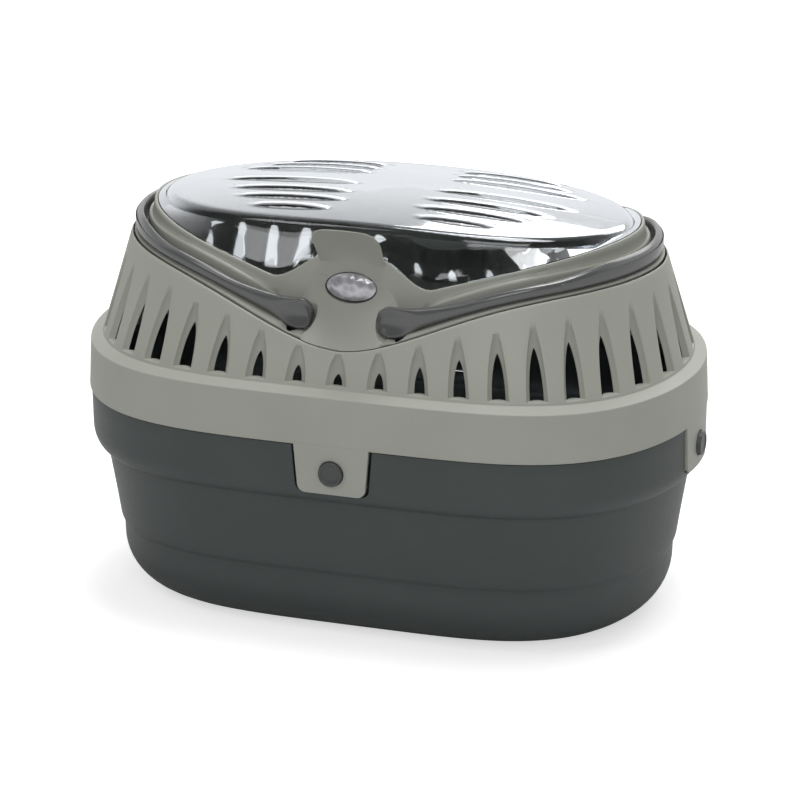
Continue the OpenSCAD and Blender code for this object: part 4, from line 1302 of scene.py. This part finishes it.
def studio_world():
    """A soft dim light all round, that is white to the camera, in mirrors and through the window. Mirrored,
    the studio is white low behind the keeper, greyer overhead and dark in front."""
    world = bpy.data.worlds.new("Studio")
    world.use_nodes = True
    tree = world.node_tree
    tree.nodes.clear()
    path = node(tree, "ShaderNodeLightPath")
    seen = node(tree, "ShaderNodeMath", {"operation": "MAXIMUM"},
                links={0: (path, "Is Camera Ray"), 1: (path, "Is Glossy Ray")})
    clear = node(tree, "ShaderNodeMath", {"operation": "MAXIMUM"},
                 links={0: (seen, "Value"), 1: (path, "Is Transmission Ray")})
    first = node(tree, "ShaderNodeMath", {"operation": "LESS_THAN"}, inputs={1: 0.5},
                 links={0: (path, "Diffuse Depth")})
    shown = node(tree, "ShaderNodeMath", {"operation": "MULTIPLY"},
                 links={0: (clear, "Value"), 1: (first, "Value")})
    place = node(tree, "ShaderNodeTexCoord")
    way = node(tree, "ShaderNodeSeparateXYZ", links={0: (place, "Generated")})
    overhead = node(tree, "ShaderNodeMapRange", {"interpolation_type": "SMOOTHSTEP"},
                    inputs={"From Min": 0.3, "From Max": 0.8, "To Min": 1.0, "To Max": 0.42},
                    links={"Value": (way, "Z")})
    behind = node(tree, "ShaderNodeMapRange", {"interpolation_type": "SMOOTHSTEP"},
                  inputs={"From Min": -0.3, "From Max": 0.3, "To Min": 0.14, "To Max": 1.0},
                  links={"Value": (way, "Y")})
    mirrored = node(tree, "ShaderNodeMath", {"operation": "MULTIPLY"},
                    links={0: (overhead, "Result"), 1: (behind, "Result")})
    straight = node(tree, "ShaderNodeMath", {"operation": "SUBTRACT"}, inputs={0: 1.0},
                    links={1: (path, "Is Glossy Ray")})
    strength = node(tree, "ShaderNodeMath", {"operation": "MAXIMUM"},
                    links={0: (mirrored, "Value"), 1: (straight, "Value")})
    soft = node(tree, "ShaderNodeBackground", inputs={"Color": (1, 1, 1, 1), "Strength": 0.35})
    white = node(tree, "ShaderNodeBackground", inputs={"Color": (1, 1, 1, 1)},
                 links={"Strength": (strength, "Value")})
    both = node(tree, "ShaderNodeMixShader",
                links={0: (shown, "Value"), 1: (soft, "Background"), 2: (white, "Background")})
    node(tree, "ShaderNodeOutputWorld", links={"Surface": (both, "Shader")})
    return world


def studio_camera():
    """The camera, in front of the keeper and to its right."""
    data = bpy.data.cameras.new("camera")
    camera = bpy.data.objects.new("camera", data)
    bpy.context.collection.objects.link(camera)
    away = Vector((math.sin(AZIMUTH) * math.cos(ELEVATION), -math.cos(AZIMUTH) * math.cos(ELEVATION),
                   math.sin(ELEVATION)))
    camera.location = TARGET + away * DISTANCE
    camera.rotation_euler = (-away).to_track_quat("-Z", "Y").to_euler()
    data.sensor_width = SENSOR_MM
    data.lens = FOCAL_PX / RENDER_PX * SENSOR_MM
    data.shift_x = (RENDER_PX / 2 - CENTRE_PX[0]) / RENDER_PX
    data.shift_y = (CENTRE_PX[1] - RENDER_PX / 2) / RENDER_PX
    data.clip_start = 0.05
    return camera


class KEEPER_OT_stage(Operator):
    """Sets the pale floor, the soft studio lamps and the camera"""
    bl_idname = "keeper.stage"
    bl_label = "Stage"

    def execute(self, context):
        scene = context.scene
        clear_choice()
        bpy.ops.mesh.primitive_grid_add(x_subdivisions=4, y_subdivisions=4, size=12)
        floor = bpy.context.object
        floor.name = "studio_floor"
        floor.data.materials.append(studio_paper(tuple(scene.keeper_colours.floor)))
        scene.world = studio_world()
        for row in LAMPS:
            lamp(*row)
        scene.camera = studio_camera()
        scene.view_settings.view_transform = "Standard"
        return {"FINISHED"}


class KEEPER_PT_panel(Panel):
    """Lists the pieces of the pet keeper"""
    bl_idname = "KEEPER_PT_panel"
    bl_label = "Pet Keeper"
    bl_space_type = "VIEW_3D"
    bl_region_type = "UI"
    bl_category = "Pet Keeper"

    def draw(self, context):
        for group in (context.scene.keeper_sizes, context.scene.keeper_colours):
            box = self.layout.box()
            for key in group.__annotations__:
                box.prop(group, key)
        for name in STEPS:
            self.layout.operator("keeper." + name)


STEPS = ("tub", "cover", "lid_frame", "window", "handles", "release", "catches", "pins", "stage")
CLASSES = (KeeperSizes, KeeperColours, KEEPER_OT_tub, KEEPER_OT_cover, KEEPER_OT_lid_frame, KEEPER_OT_window,
           KEEPER_OT_handles, KEEPER_OT_release, KEEPER_OT_catches, KEEPER_OT_pins, KEEPER_OT_stage,
           KEEPER_PT_panel)


def register():
    """Registers the classes, and keeps the sizes and the colours with the scene."""
    for item in CLASSES:
        bpy.utils.register_class(item)
    bpy.types.Scene.keeper_sizes = PointerProperty(type=KeeperSizes)
    bpy.types.Scene.keeper_colours = PointerProperty(type=KeeperColours)


def unregister():
    """Takes away what register added."""
    del bpy.types.Scene.keeper_colours
    del bpy.types.Scene.keeper_sizes
    for item in reversed(CLASSES):
        bpy.utils.unregister_class(item)


def main():
    """Runs each step in order."""
    register()
    for name in STEPS:
        if getattr(bpy.ops.keeper, name)() != {"FINISHED"}:
            raise RuntimeError("the step " + name + " did not finish")


if __name__ == "__main__":
    main()
